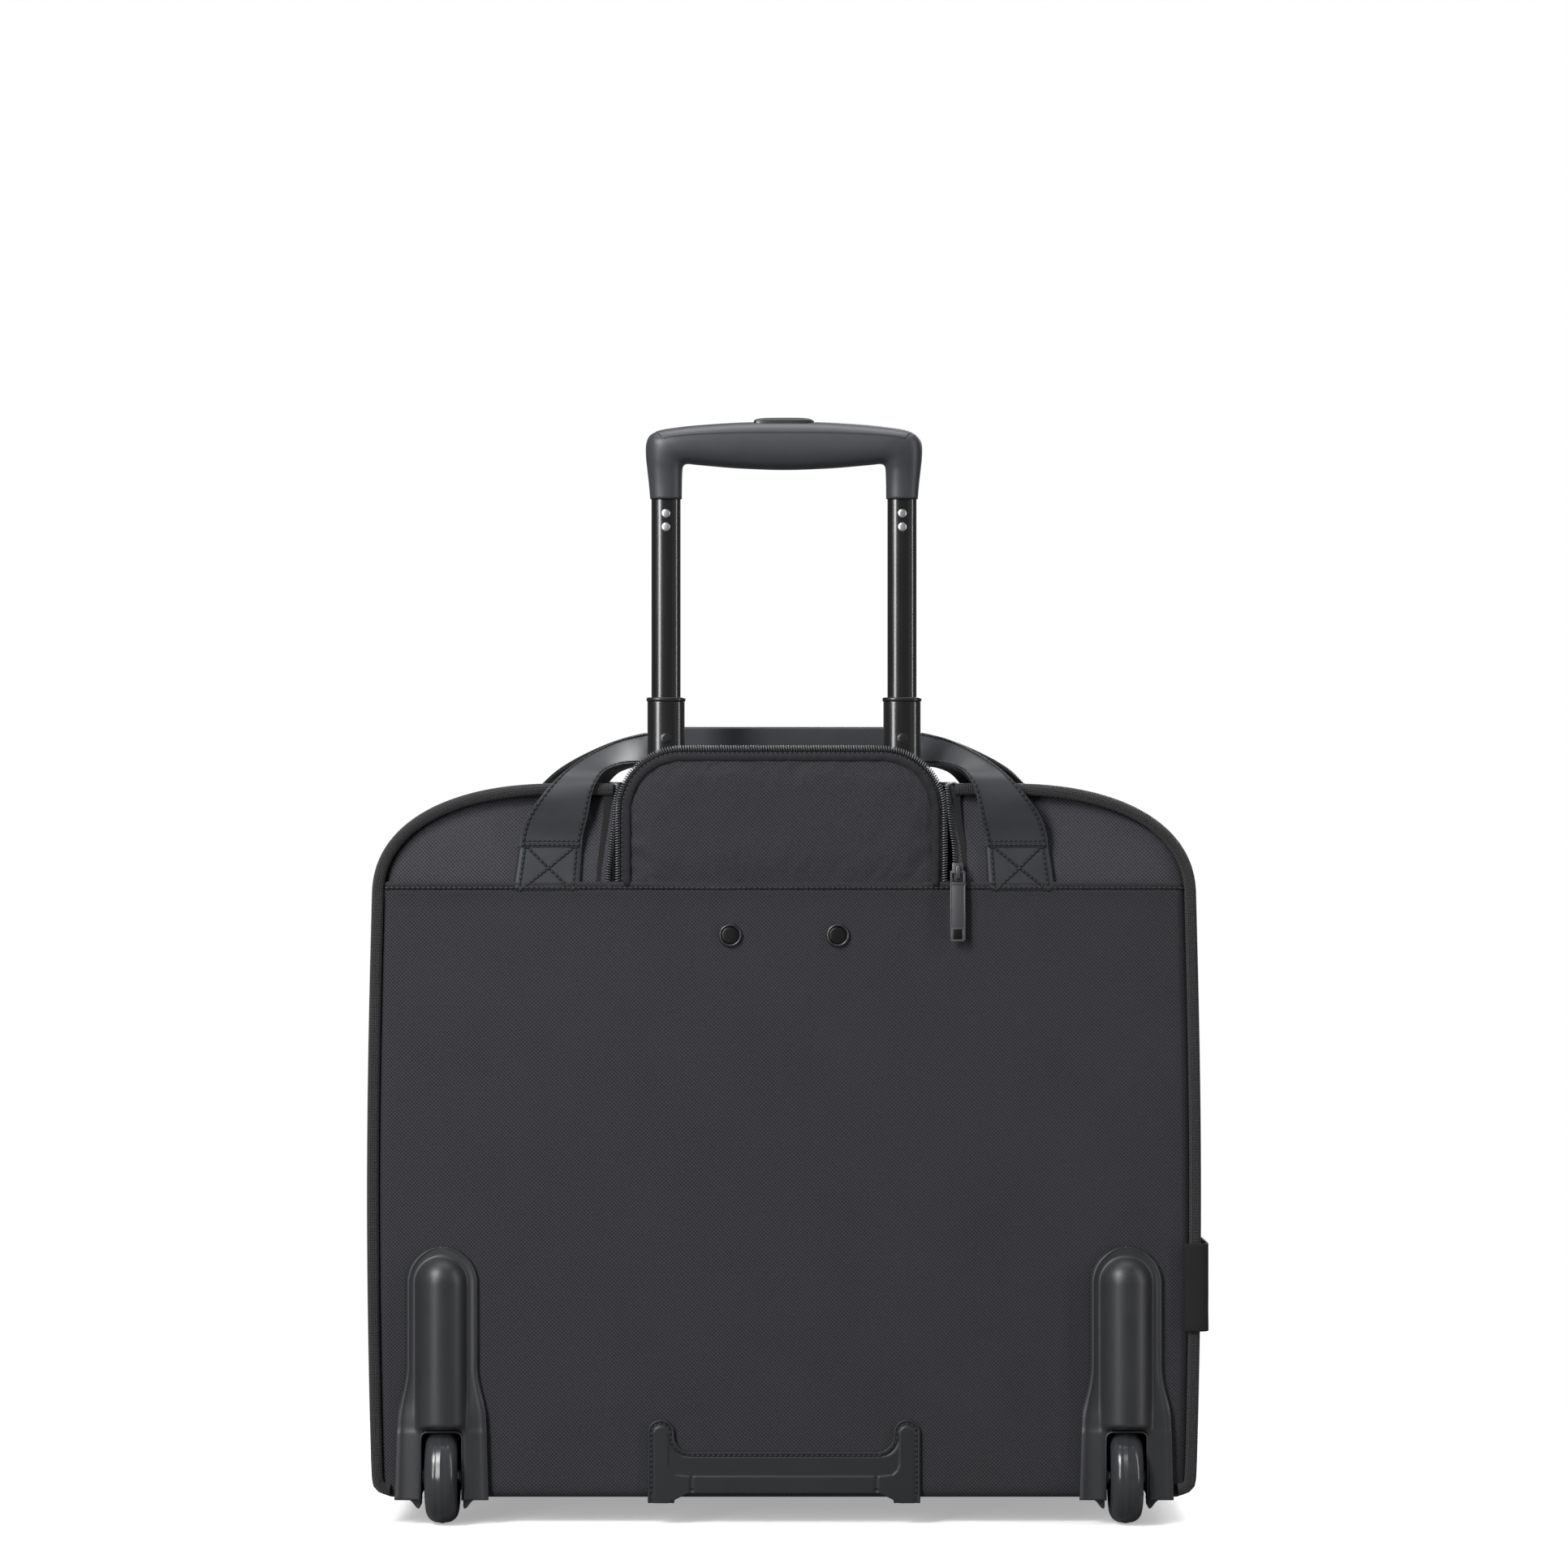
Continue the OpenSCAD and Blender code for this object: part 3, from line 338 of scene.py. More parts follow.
CHARCOAL = (0.0168, 0.0162, 0.0192)
make_stage()
MAT = {
    "fabric": woven("charcoal_canvas", CHARCOAL),
    # the same cloth 1.6 times lighter: painted light on the upper rear panel, which leans towards the lamps
    "fabric_painted_light": woven("charcoal_canvas_painted_light", scaled(CHARCOAL, 1.6)),
    "fabric_xz": woven("charcoal_canvas_panel", CHARCOAL, "Object", (0, 2)),
    "binding": woven("binding_tape", (0.011, 0.0108, 0.0125), "UV", (0, 1), 0.5 * MM, 0.5, 0.05),
    "tape": woven("zip_tape", (0.010, 0.010, 0.011), "UV", (0, 1), 0.45 * MM, 0.35, 0.1),
    "lining": woven("lining_cloth", (0.055, 0.055, 0.06), "Object", (0, 2), 0.4 * MM, 0.2, 0.15),
    "piping": roped("piping_cloth", (0.0165, 0.0165, 0.0182)),
    "pu": leathery("smooth_leather", (0.0185, 0.0200, 0.0240), 0.5),
    # the smooth leather made far darker: painted shade on the side pull tab, which faces away from the key light
    "tab": leathery("tab_leather_painted_shade", (0.0012, 0.0013, 0.0016), 0.85),
    "pu_edge": leathery("painted_leather_edge", (0.012, 0.013, 0.015), 0.35),
    "backing": woven("handle_backing", (0.012, 0.012, 0.013), "UV", (0, 1), 0.8 * MM, 0.45, 0.1),
    "thread": leathery("sewing_thread", (0.004, 0.004, 0.005), 0.6),
    "housing": moulded("housing_plastic", (0.0200, 0.0206, 0.0226), 0.4),
    "grip": moulded("grip_plastic", (0.030, 0.0318, 0.037), 0.42, 0.3 * MM, 0.02 * MM),
    # the cap is its own moulding, and its lighter tone is a painted highlight along the top of the grip
    "grip_top": moulded("grip_cap_plastic_painted_highlight", (0.037, 0.039, 0.046), 0.4, 0.3 * MM, 0.02 * MM),
    "button": moulded("button_plastic", (0.013, 0.013, 0.015), 0.35, 0.3 * MM, 0.01 * MM),
    "bumper": moulded("bumper_rubber", (0.0070, 0.0078, 0.0100), 0.5, 0.45 * MM, 0.03 * MM),
    "collar": moulded("collar_plastic", (0.010, 0.010, 0.0112), 0.3, 0.3 * MM, 0.01 * MM),
    "board": moulded("board_plastic", (0.03, 0.03, 0.032), 0.7, 1.2 * MM, 0.05 * MM),
    "tyre": moulded("wheel_rubber", (0.030, 0.031, 0.034), 0.2, 0.5 * MM, 0.008 * MM),
    "tube": metal("black_anodised_tube", (0.010, 0.010, 0.011), 0.2, 0.35, Specular_IOR_Level=0.9),
    "aluminium": metal("drawn_aluminium", (0.62, 0.63, 0.64), 0.32),
    "chrome": metal("chrome", (0.62, 0.62, 0.64), 0.34),
    "steel": metal("turned_steel", (0.55, 0.55, 0.56), 0.3, 1.0, (12, 600, 600)),
    "gunmetal": metal("gunmetal", (0.115, 0.116, 0.122), 0.34, 0.8, (80, 80, 80)),
    "teeth": metal("zip_teeth", (0.095, 0.097, 0.103), 0.36, 0.7, (90, 90, 90)),
    "stud": metal("stud_ring_metal", (0.075, 0.075, 0.08), 0.3, 0.9, (90, 90, 90)),
    "cap": moulded("stud_cap_plastic", (0.002, 0.002, 0.0025), 0.3, 0.5 * MM, 0.004 * MM),
}


# ---- mesh tools ----

def put(name, points, faces, material, uvs=None, body=None, slot=None, smooth=True):
    """A new piece from points and faces, with UV in metres for each point if given."""
    mesh = bpy.data.meshes.new(name)
    mesh.from_pydata([tuple(p) for p in points], [], [tuple(f) for f in faces])
    mesh.validate()
    if uvs is not None:
        layer = mesh.uv_layers.new(name="UVMap")
        for loop in mesh.loops:
            layer.data[loop.index].uv = uvs[loop.vertex_index]
    mesh.polygons.foreach_set("use_smooth", [smooth] * len(mesh.polygons))
    piece = bpy.data.objects.new(name, mesh)
    bpy.context.scene.collection.objects.link(piece)
    piece.data.materials.append(MAT[material])
    if body:
        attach(piece, body)
    return piece


def grid_faces(rows, columns, wrap=False, keep=None):
    faces = []
    for r in range(rows - 1):
        for c in range(columns - (0 if wrap else 1)):
            face = (r * columns + c, r * columns + (c + 1) % columns,
                    (r + 1) * columns + (c + 1) % columns, (r + 1) * columns + c)
            if keep is None or keep(r, c):
                faces.append(face)
    return faces


def flipped(faces, when=True):
    return [f[::-1] for f in faces] if when else faces


def settle(piece, body, node=None):
    """Puts a piece on its body, in the place of a CAD node if one is named."""
    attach(piece, body)
    if node:
        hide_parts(node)


def modify(piece, kind, **settings):
    """Adds a modifier and applies it at once."""
    modifier = piece.modifiers.new(kind.lower(), kind)
    for key, value in settings.items():
        setattr(modifier, key, value)
    graph = bpy.context.evaluated_depsgraph_get()
    mesh = bpy.data.meshes.new_from_object(piece.evaluated_get(graph))
    piece.modifiers.clear()
    piece.data = mesh
    return piece


def unit(v):
    v = np.asarray(v, float)
    return v / np.maximum(np.linalg.norm(v, axis=-1, keepdims=True), 1e-12)


def smooth_path(points, step):
    """A Catmull-Rom curve through points, resampled at even steps of arc length."""
    p = np.asarray(points, float)
    p = np.vstack([2 * p[0] - p[1], p, 2 * p[-1] - p[-2]])
    dense = []
    for a, b, c, d in zip(p, p[1:], p[2:], p[3:]):
        for t in np.linspace(0, 1, 24, endpoint=False):
            dense.append(0.5 * (2 * b + (c - a) * t + (2 * a - 5 * b + 4 * c - d) * t ** 2
                                + (3 * b - a - 3 * c + d) * t ** 3))
    dense.append(p[-2])
    return resample(dense, step)


def resample(points, step):
    p = np.asarray(points, float)
    lengths = np.concatenate([[0], np.cumsum(np.linalg.norm(np.diff(p, axis=0), axis=1))])
    n = max(2, int(round(lengths[-1] / step)) + 1)
    at = np.linspace(0, lengths[-1], n)
    return np.stack([np.interp(at, lengths, p[:, k]) for k in range(p.shape[1])], axis=1)


def arc_length(points):
    return np.concatenate([[0], np.cumsum(np.linalg.norm(np.diff(points, axis=0), axis=1))])


def frames_along(path, normal):
    """Tangent, side and out vectors along a path; normal is one vector, or one for each point."""
    tangent = unit(np.gradient(path, axis=0))
    out = np.broadcast_to(np.asarray(normal, float), path.shape)
    out = unit(out - tangent * (out * tangent).sum(1, keepdims=True))
    side = np.cross(tangent, out)
    return tangent, side, out


def sweep(name, path, profile, normal, material, closed=True, caps=True, **more):
    """Sweeps a profile of (side, out) points along a path, with UV along it and around it."""
    _, side, out = frames_along(path, normal)
    profile = np.asarray(profile, float)
    n, m = len(path), len(profile)
    points = (path[:, None] + side[:, None] * profile[None, :, :1] + out[:, None] * profile[None, :, 1:])
    around = arc_length(np.vstack([profile, profile[:1]]))
    along = arc_length(path)
    uvs = [(along[i], around[j]) for i in range(n) for j in range(m)]
    faces = grid_faces(n, m, wrap=closed)
    if caps and closed:
        faces += [tuple(range(m))[::-1], tuple((n - 1) * m + j for j in range(m))]
    return put(name, points.reshape(-1, 3), faces, material, uvs, **more)


def circle(radius, sides=16, squash=1.0):
    return [(radius * math.cos(a), squash * radius * math.sin(a))
            for a in np.linspace(0, 2 * math.pi, sides, endpoint=False)]


def rounded_box(width, height, radius, steps=4):
    """A closed profile with rounded corners, centred, as (side, out) points."""
    points = []
    for cx, cy, a0 in ((1, 1, 0), (-1, 1, 90), (-1, -1, 180), (1, -1, 270)):
        for k in range(steps + 1):
            a = math.radians(a0 + 90 * k / steps)
            points.append((cx * (width / 2 - radius) + radius * math.cos(a),
                           cy * (height / 2 - radius) + radius * math.sin(a)))
    return points


def pipe(name, path, radius, material, sides=14, **more):
    """A round cord, open at its ends, along a path."""
    path = np.asarray(path, float)
    direction = unit(path[-1] - path[0])
    normal = REARWARDS if abs(direction @ REARWARDS) < 0.9 else UP
    return sweep(name, path, circle(radius, sides), normal, material, caps=False, **more)


class Pattern:
    """Gathers many small copies, such as stitches or teeth, into one mesh."""

    def __init__(self):
        self.points, self.faces = [], []

    def add(self, points, faces):
        base = len(self.points)
        self.points += [tuple(p) for p in points]
        self.faces += [tuple(base + i for i in f) for f in faces]

    def put(self, name, material, body, slot, smooth=True):
        return put(name, self.points, self.faces, material, None, body, slot, smooth)


def bead(sides=6, rings=5):
    """A unit bead along X, as points and faces."""
    points, faces = [], []
    for r in range(rings):
        a = math.pi * (r + 0.5) / rings
        for s in range(sides):
            b = 2 * math.pi * s / sides
            points.append((-math.cos(a), math.sin(a) ** 0.6 * math.cos(b), math.sin(a) ** 0.6 * math.sin(b)))
    faces += grid_faces(rings, sides, wrap=True)
    faces += [tuple(range(sides))[::-1], tuple((rings - 1) * sides + s for s in range(sides))]
    return np.array(points), faces


BEAD = bead()


def add_beads(pattern, path, normal, pitch, size, lift=0.0, slant=0.0):
    """Lays beads along a path. size is half the length, width and height; slant turns them."""
    path = resample(path, pitch)
    path = (path[:-1] + path[1:]) / 2
    if np.ndim(normal) == 2:
        at = np.linspace(0, len(normal) - 1, len(path))
        normal = np.stack([np.interp(at, range(len(normal)), np.asarray(normal)[:, k]) for k in range(3)], axis=1)
    if len(path) < 2:
        return
    tangent, side, out = frames_along(path, normal)
    shape, faces = BEAD
    c, s = math.cos(slant), math.sin(slant)
    for p, t, b, n in zip(path, tangent, side, out):
        t, b = t * c + b * s, b * c - t * s
        q = p + n * lift + shape[:, :1] * t * size[0] + shape[:, 1:2] * b * size[1] + shape[:, 2:] * n * size[2]
        pattern.add(q, faces)


STITCH = (1.4 * MM, 0.8 * MM, 0.5 * MM)  # half a stitch's length, width and height
STITCH_PITCH = 2.8 * MM
STRAP_PITCH, PATCH_PITCH = 3.0 * MM, 2.7 * MM
STITCH_LIFT, STITCH_SLANT = 0.15 * MM, 0.06
stitches = {body: Pattern() for body in ("case", "front_cover", "trolley_cover", "rear_carry_handle",
                                         "front_carry_handle")}


def stitch(body, path, normal, pitch=STITCH_PITCH):
    add_beads(stitches[body], np.asarray(path, float), normal, pitch, STITCH, 0.12 * MM, STITCH_SLANT)


def wave(x, y, scale, seed=0.0):
    """Smooth noise from -1 to 1."""
    return noise.noise(Vector((x / scale, y / scale, seed)))


# ---- the body's outline ----

def side_x(z):
    return HALF_W - SIDE_BELLY + SIDE_BELLY * math.sin(
        math.pi * (z - BODY_LOW) / (BODY_TOP - SHOULDER_H - BODY_LOW))


def outline(inset, step=4 * MM):
    """The closed outline as X and Z, from the middle of the underside and up the +X side."""
    shoulder_z = BODY_TOP - SHOULDER_H
    foot = FOOT_R
    half = [(0, BODY_LOW + inset)]
    for a in np.radians(np.linspace(-90, 0, 9)):
        r = max(foot - inset, 0.5 * MM)
        half.append((side_x(BODY_LOW) - inset - r + r * math.cos(a), BODY_LOW + inset + r + r * math.sin(a)))
    for z in np.linspace(BODY_LOW + foot + inset, shoulder_z, 40)[1:]:
        half.append((side_x(z) - inset, z))
    for a in np.linspace(0, math.pi / 2, 40)[1:]:
        half.append((side_x(shoulder_z) - SHOULDER_W + (SHOULDER_W - inset) * math.cos(a) ** SHOULDER_POWER,
                     shoulder_z + (SHOULDER_H - inset) * math.sin(a) ** SHOULDER_POWER))
    half.append((0, BODY_TOP - inset))
    right = resample(half, step)
    return np.vstack([right, (right * [-1, 1])[::-1][1:]])


def outward(points):
    tangent = unit(np.gradient(points, axis=0))
    return np.stack([tangent[:, 1], -tangent[:, 0]], axis=1)


def width_at(z, inset):
    """Half the body's width at a height, inset from its outline."""
    loop = outline(inset)
    right = loop[:len(loop) // 2 + 1]
    side = right[right[:, 0] > 60 * MM]
    return float(np.interp(z, side[:, 1], side[:, 0]))


def stand(points, y):
    """Outline points placed at one Y."""
    return np.stack([points[:, 0], np.full(len(points), y), points[:, 1]], axis=1)


def where(loop, test):
    """The longest unbroken run of a closed loop's points that pass the test."""
    passed = np.array([test(x, z) for x, z in loop[:-1]])
    start = int(np.argmax(~passed)) if not passed.all() else 0
    order = [(start + k) % len(passed) for k in range(len(passed))]
    runs, run = [], []
    for k in order:
        if passed[k]:
            run.append(loop[k])
        elif run:
            runs.append(run)
            run = []
    if run:
        runs.append(run)
    return np.array(max(runs, key=len))


# ---- body panels ----

PANEL_INSET = 5.6 * MM
PANEL_COLUMNS = 141
HEM_R = 0.9 * MM  # the roll of the rear panel's top edge
SEAM_DROP = 2.4 * MM  # how far below the hem its seam runs
WHEEL_GAP, WHEEL_GAP_TOP = 13.5 * MM, 60 * MM  # half width and top of the panel's opening behind a wheel
WELL_MARGIN = 1 * MM


def spaced(low, high, n, edge=0.75):
    """n values from low to high, closer together near both ends."""
    t = np.linspace(-1, 1, n)
    t = (1 - edge) * t + edge * np.sin(t * math.pi / 2)
    return low + (high - low) * (t + 1) / 2


def panel_half(z, inset, z_low, corner=5 * MM):
    """Half a panel's width at a height: inside the outline, with rounded bottom corners."""
    if z > BODY_TOP - SHOULDER_H:
        return width_at(min(z, BODY_TOP - inset - 0.05 * MM), inset)
    w = side_x(z) - inset
    rise = corner - (z - z_low)
    return w - corner + math.sqrt(max(corner ** 2 - rise ** 2, 0)) if rise > 0 else w


def cloth(piece, held, sides=1, rests_on=()):
    """Reads a sheet's UV map, the flat cut in metres, and does nothing more with it."""
    mesh = piece.data
    uv = np.zeros(2 * len(mesh.loops))
    mesh.uv_layers[0].data.foreach_get("uv", uv)
    uv = uv.reshape(-1, 2)


def panel(name, face_y, facing, z_low, z_high, body, material, hem=False, swell=0.8 * MM, inset=PANEL_INSET):
    """A padded body panel: tucked in beside the piping, softly swollen, with a rolled hem if asked."""
    columns = PANEL_COLUMNS
    depth_rows = [(z, 0.0) for z in spaced(z_low, z_high, 100)]
    if hem:
        depth_rows += [(z_high + HEM_R * math.sin(a), HEM_R * (1 - math.cos(a)))
                       for a in np.linspace(0.4, math.pi, 6)]
        depth_rows += [(z_high - 5 * MM, 2 * HEM_R)]
    points, uvs = [], []
    for z, back in depth_rows:
        w = panel_half(min(z, z_high), inset, z_low)
        for x in spaced(-w, w, columns, 0.6):
            edge = min(w - abs(x), z - z_low, (1 if hem else z_high - z + 1e-4))
            tuck = 2.8 * MM * math.exp(-max(edge, 0) / (1.9 * MM))
            crown = swell * (1 - (x / w) ** 2) * math.sin(math.pi * (z - z_low) / (z_high - z_low + 6 * MM))
            ripple = 0.5 * MM * wave(x, z, 85 * MM, 3.1) + 0.15 * MM * wave(x, z, 24 * MM, 9.2)
            raised = 0.0
            if hem:
                near = math.exp(-max(z_high - z, 0) / (6 * MM))
                ripple += 0.2 * MM * near * math.sin(x / (2.4 * MM) + 3 * wave(x, 0, 40 * MM))
                groove = math.exp(-((z_high - SEAM_DROP - z) / (0.95 * MM)) ** 2)
                raised = 1.1 * MM * math.exp(-((z_high - z) / (7 * MM)) ** 2) - 0.55 * MM * groove
            y = face_y - facing * (tuck + back - crown - raised - ripple * min(1, max(edge, 0) / (12 * MM)) * 0.7)
            points.append((x, y, z))
            uvs.append((x, z))

    def keep(r, c):
        x, _, z = points[r * columns + c]
        return not (facing < 0 and abs(abs(x) - WHEEL_X) < WHEEL_GAP and z < WHEEL_GAP_TOP)
    faces = grid_faces(len(depth_rows), columns, keep=keep)
    piece = put(name, points, flipped(faces, facing >= 0), material, uvs, body, "woven_fabric")
    cloth(piece, "stretched", rests_on=["back_board" if facing < 0 and body == "case" else "front_panel"])
    return piece


def rear_faces():
    lower = panel("rear_panel_cover", REAR_Y, -1, BODY_LOW - 1.2 * MM, HEM_Z, "case", "fabric", hem=True,
                  swell=0.3 * MM)
    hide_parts("rear_panel")
    w = panel_half(HEM_Z, PANEL_INSET, 0) - 1 * MM
    seam = [(x, REAR_Y - 1.0 * MM, HEM_Z - SEAM_DROP) for x in np.linspace(-w, w, 80)]
    stitch("case", seam, REARWARDS)

    points, uvs, faces = [], [], []
    rows, columns = 40, 46
    for side in (-1, 1):
        base = len(points)
        for z in spaced(HEM_Z - 5 * MM, BODY_TOP - PANEL_INSET, rows):
            w = panel_half(z, PANEL_INSET, 0)
            inner = coil_x(z, side) + 1.2 * MM
            for x in spaced(inner, w, columns, 0.5):
                edge = min(w - x, BODY_TOP - PANEL_INSET - z + 1e-4)
                tuck = 2.4 * MM * math.exp(-max(edge, 0) / (1.9 * MM))
                back = 1 - math.exp(-(x - inner) / (9 * MM))
                fold = 0.6 * MM * wave(x * side, z, 30 * MM, 5.5) + 0.2 * MM * wave(x * side, z, 11 * MM, 2.2)
                lean = 4.5 * MM * ((z - HEM_Z) / (BODY_TOP - HEM_Z)) ** 2
                points.append((side * x, REAR_Y + 0.3 * MM + tuck + (fold + lean + 1.9 * MM) * back, z))
                uvs.append((side * x, z))
        faces += [tuple(base + i for i in f) for f in flipped(grid_faces(rows, columns), side < 0)]
    # The upper panel takes the lighter cloth: painted light for its lean towards the lamps.
    upper = put("upper_rear_panel_cover", points, faces, "fabric_painted_light", uvs, "case", "woven_fabric")
    cloth(upper, "stretched", rests_on=["rear_piping"])
    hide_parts("upper_rear_panel")


def coil_x(z, side):
    """How far out the case's half of the cover zip runs, at a height on one side."""
    if side < 0:
        return float(np.interp(z, [HEM_Z - 5 * MM, HEM_Z + 8 * MM, HEM_Z + 34 * MM, BODY_TOP],
                               [95 * MM, 94.6 * MM, 91.5 * MM, 90 * MM]))
    return float(np.interp(z, [HEM_Z - 5 * MM, HEM_Z + 7 * MM, HEM_Z + 20 * MM, HEM_Z + 32 * MM, BODY_TOP],
                           [92 * MM, 92.4 * MM, 91.8 * MM, 90 * MM, 88 * MM]))


def gusset(name, y_values, test, body, inset=1.0 * MM, thickness=1.6 * MM, keep=None, slump=0.5 * MM,
           tucks=(2.2 * MM, 0.8 * MM)):
    """A band of the body's sides: the outline drawn along Y, slightly slack between its seams."""
    loop = where(outline(inset), test)
    out = outward(loop)
    along = arc_length(loop)
    span = y_values[-1] - y_values[0]
    points, uvs = [], []
    for y in y_values:
        t = (y - y_values[0]) / span
        tuck = tucks[0] * math.exp(-t * span / (2.5 * MM)) + tucks[1] * math.exp(-(1 - t) * span / (2.5 * MM))
        for (x, z), n, s in zip(loop, out, along):
            slack = (slump * (1.4 * wave(s, y, 60 * MM, 4.4) - 0.9 * math.sin(math.pi * t))
                     + 0.14 * MM * wave(s, y, 15 * MM))
            shift = min(slack, 0.25 * MM) - tuck
            points.append((x + n[0] * shift, y, z + n[1] * shift))
            uvs.append((s, y))
    cells = None
    if keep:
        def cells(r, c):
            return keep(*points[r * len(loop) + c])
    piece = put(name, points, grid_faces(len(y_values), len(loop), keep=cells), "fabric", uvs)
    piece.data.materials.append(MAT["lining"])
    modify(piece, "SOLIDIFY", thickness=thickness, offset=1.0, material_offset=1)
    settle(piece, body)
    cloth(piece, "stretched", rests_on=["rear_piping" if body == "case" else "front_piping"])
    return piece


TAPE_GAP = 6.2 * MM
MAIN_TOOTH = (1.6 * MM, 0.6 * MM, 0.85 * MM)  # teeth: half length, half width and half height
POCKET_TOOTH = (1.4 * MM, 0.5 * MM, 0.7 * MM)
FLAP_TOOTH = (1.75 * MM, 0.48 * MM, 0.95 * MM)
CASE_TOOTH = (1.5 * MM, 0.48 * MM, 0.9 * MM)
COVER_PITCH = 1.35 * MM  # from tooth to tooth on the trolley cover's zip
TOOTH_SLANT = 0.22
TAPE_T, TAPE_R = 0.8 * MM, 0.3 * MM
ACROSS = math.pi / 2


def sides():
    wheel_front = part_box("wheel_housing_right")[1].y

    def not_cut(x, y, z):
        in_well = abs(x) < WELL_X + WELL_MARGIN and z > BODY_TOP - 30 * MM and y < WELL_FRONT_Y + WELL_MARGIN
        in_wheel = abs(abs(x) - WHEEL_X) < 23 * MM and z < 30 * MM and y < wheel_front
        return not (in_well or in_wheel)

    rear = gusset("rear_gusset_cover", list(np.linspace(REAR_Y + 2 * MM, ZIP_Y - TAPE_GAP, 30)),
                  lambda x, z: True, "case", keep=not_cut)
    gusset("lower_gusset_cover", list(np.linspace(ZIP_Y - TAPE_GAP, FRONT_Y - 5 * MM, 18)),
           lambda x, z: z < ZIP_END_Z, "case", tucks=(0.0, 0.0))
    front = gusset("front_gusset_cover", list(np.linspace(ZIP_Y + TAPE_GAP, FRONT_Y - 2 * MM, 18)),
                   lambda x, z: z > ZIP_END_Z, "front_cover", tucks=(0.8 * MM, 2.2 * MM))
    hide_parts("rear_gusset")
    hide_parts("front_gusset")
    loop = where(outline(1.0 * MM), lambda x, z: z > ZIP_END_Z)
    out = outward(loop)
    normals = stand(out, 0.0)
    for body, y in (("case", ZIP_Y - TAPE_GAP - 1.7 * MM), ("front_cover", ZIP_Y + TAPE_GAP + 1.7 * MM)):
        stitch(body, stand(loop, y) - normals * 0.45 * MM, normals)


def main_zip():
    """Tapes and teeth of the zip between the two halves of the case."""
    for name, body, side, node in (("main_zip_rear_tape", "case", -1, "main_zip_rear"),
                                   ("main_zip_front_tape", "front_cover", 1, "main_zip_front")):
        loop = where(outline(1.9 * MM), lambda x, z: z > ZIP_END_Z)
        along = arc_length(loop)
        ys = ZIP_Y + side * np.linspace(9, 0.5, 5) * MM
        points = [(x, y, z) for y in ys for x, z in loop]
        uvs = [(s, y) for y in ys for s in along]
        faces = grid_faces(len(ys), len(loop))
        tape = put(name, points, flipped(faces, side <= 0), "tape", uvs)
        modify(tape, "SOLIDIFY", thickness=0.7 * MM, offset=-1.0)
        settle(tape, body, node)
        teeth = Pattern()
        line = where(outline(0.9 * MM, 2 * MM), lambda x, z: z > ZIP_END_Z)
        out = outward(line)
        add_beads(teeth, stand(line, ZIP_Y + side * 1.25 * MM), stand(out, 0.0), 1.7 * MM, MAIN_TOOTH,
                  0.0, ACROSS)
        teeth.put(name.replace("tape", "teeth"), "teeth", body, "zip")


def piped(x, z):
    """True where the outline has piping: all the way round but for the flat part of its underside."""
    return z > 60 * MM or abs(x) > HALF_W - 14 * MM


def pipings():
    """Round, coarse-clothed piping along the edges of both faces."""
    loop = outline(PIPING_R)
    rear_centre = REAR_Y + 0.6 * MM
    for side, label in ((-1, "left"), (1, "right")):
        run = where(loop, lambda x, z: side * x > WELL_X - WELL_MARGIN and piped(x, z))
        piece = pipe(f"rear_piping_{label}", resample(stand(run, rear_centre), PIPING_STEP), PIPING_R, "piping", 16,
                     body="case", slot="piping")
        if side > 0:
            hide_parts("rear_piping")
    run = where(loop, piped)
    run = run[run[:, 1] > BODY_LOW + 6 * MM]
    piece = pipe("front_piping_cord", resample(stand(run, FRONT_Y - 0.6 * MM), PIPING_STEP), PIPING_R, "piping", 16,
                 body="front_cover", slot="piping")
    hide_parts("front_piping")


# ---- padding by cloth simulation ----

def puff(piece, held, pressure, slack, frames, cap):
    """Blows a padded piece up by cloth simulation with some of its points held, and keeps the result."""
    scene = bpy.context.scene
    start = np.array([v.co for v in piece.data.vertices])
    group = piece.vertex_groups.new(name="seam")
    group.add([int(k) for k in held], 1.0, "REPLACE")
    cloth = piece.modifiers.new("cloth", "CLOTH")
    settings = cloth.settings
    settings.quality = 6
    settings.mass = 0.25
    settings.tension_stiffness = settings.compression_stiffness = 20
    settings.shear_stiffness = 12
    settings.bending_stiffness = 0.6
    settings.use_pressure = True
    settings.uniform_pressure_force = pressure
    settings.shrink_min = -slack
    settings.vertex_group_mass = "seam"
    settings.effector_weights.gravity = 0
    cloth.point_cache.frame_start = 1
    cloth.point_cache.frame_end = frames
    for frame_number in range(1, frames + 1):
        scene.frame_set(frame_number)
    graph = bpy.context.evaluated_depsgraph_get()
    moved = np.array([v.co for v in piece.evaluated_get(graph).data.vertices])
    piece.modifiers.clear()
    piece.vertex_groups.clear()
    scene.frame_set(1)
    shift = np.nan_to_num(moved - start)
    length = np.linalg.norm(shift, axis=1, keepdims=True)
    shift *= np.minimum(1, cap / np.maximum(length, 1e-9))
    piece.data.vertices.foreach_set("co", (start + shift).ravel())
    piece.data.update()


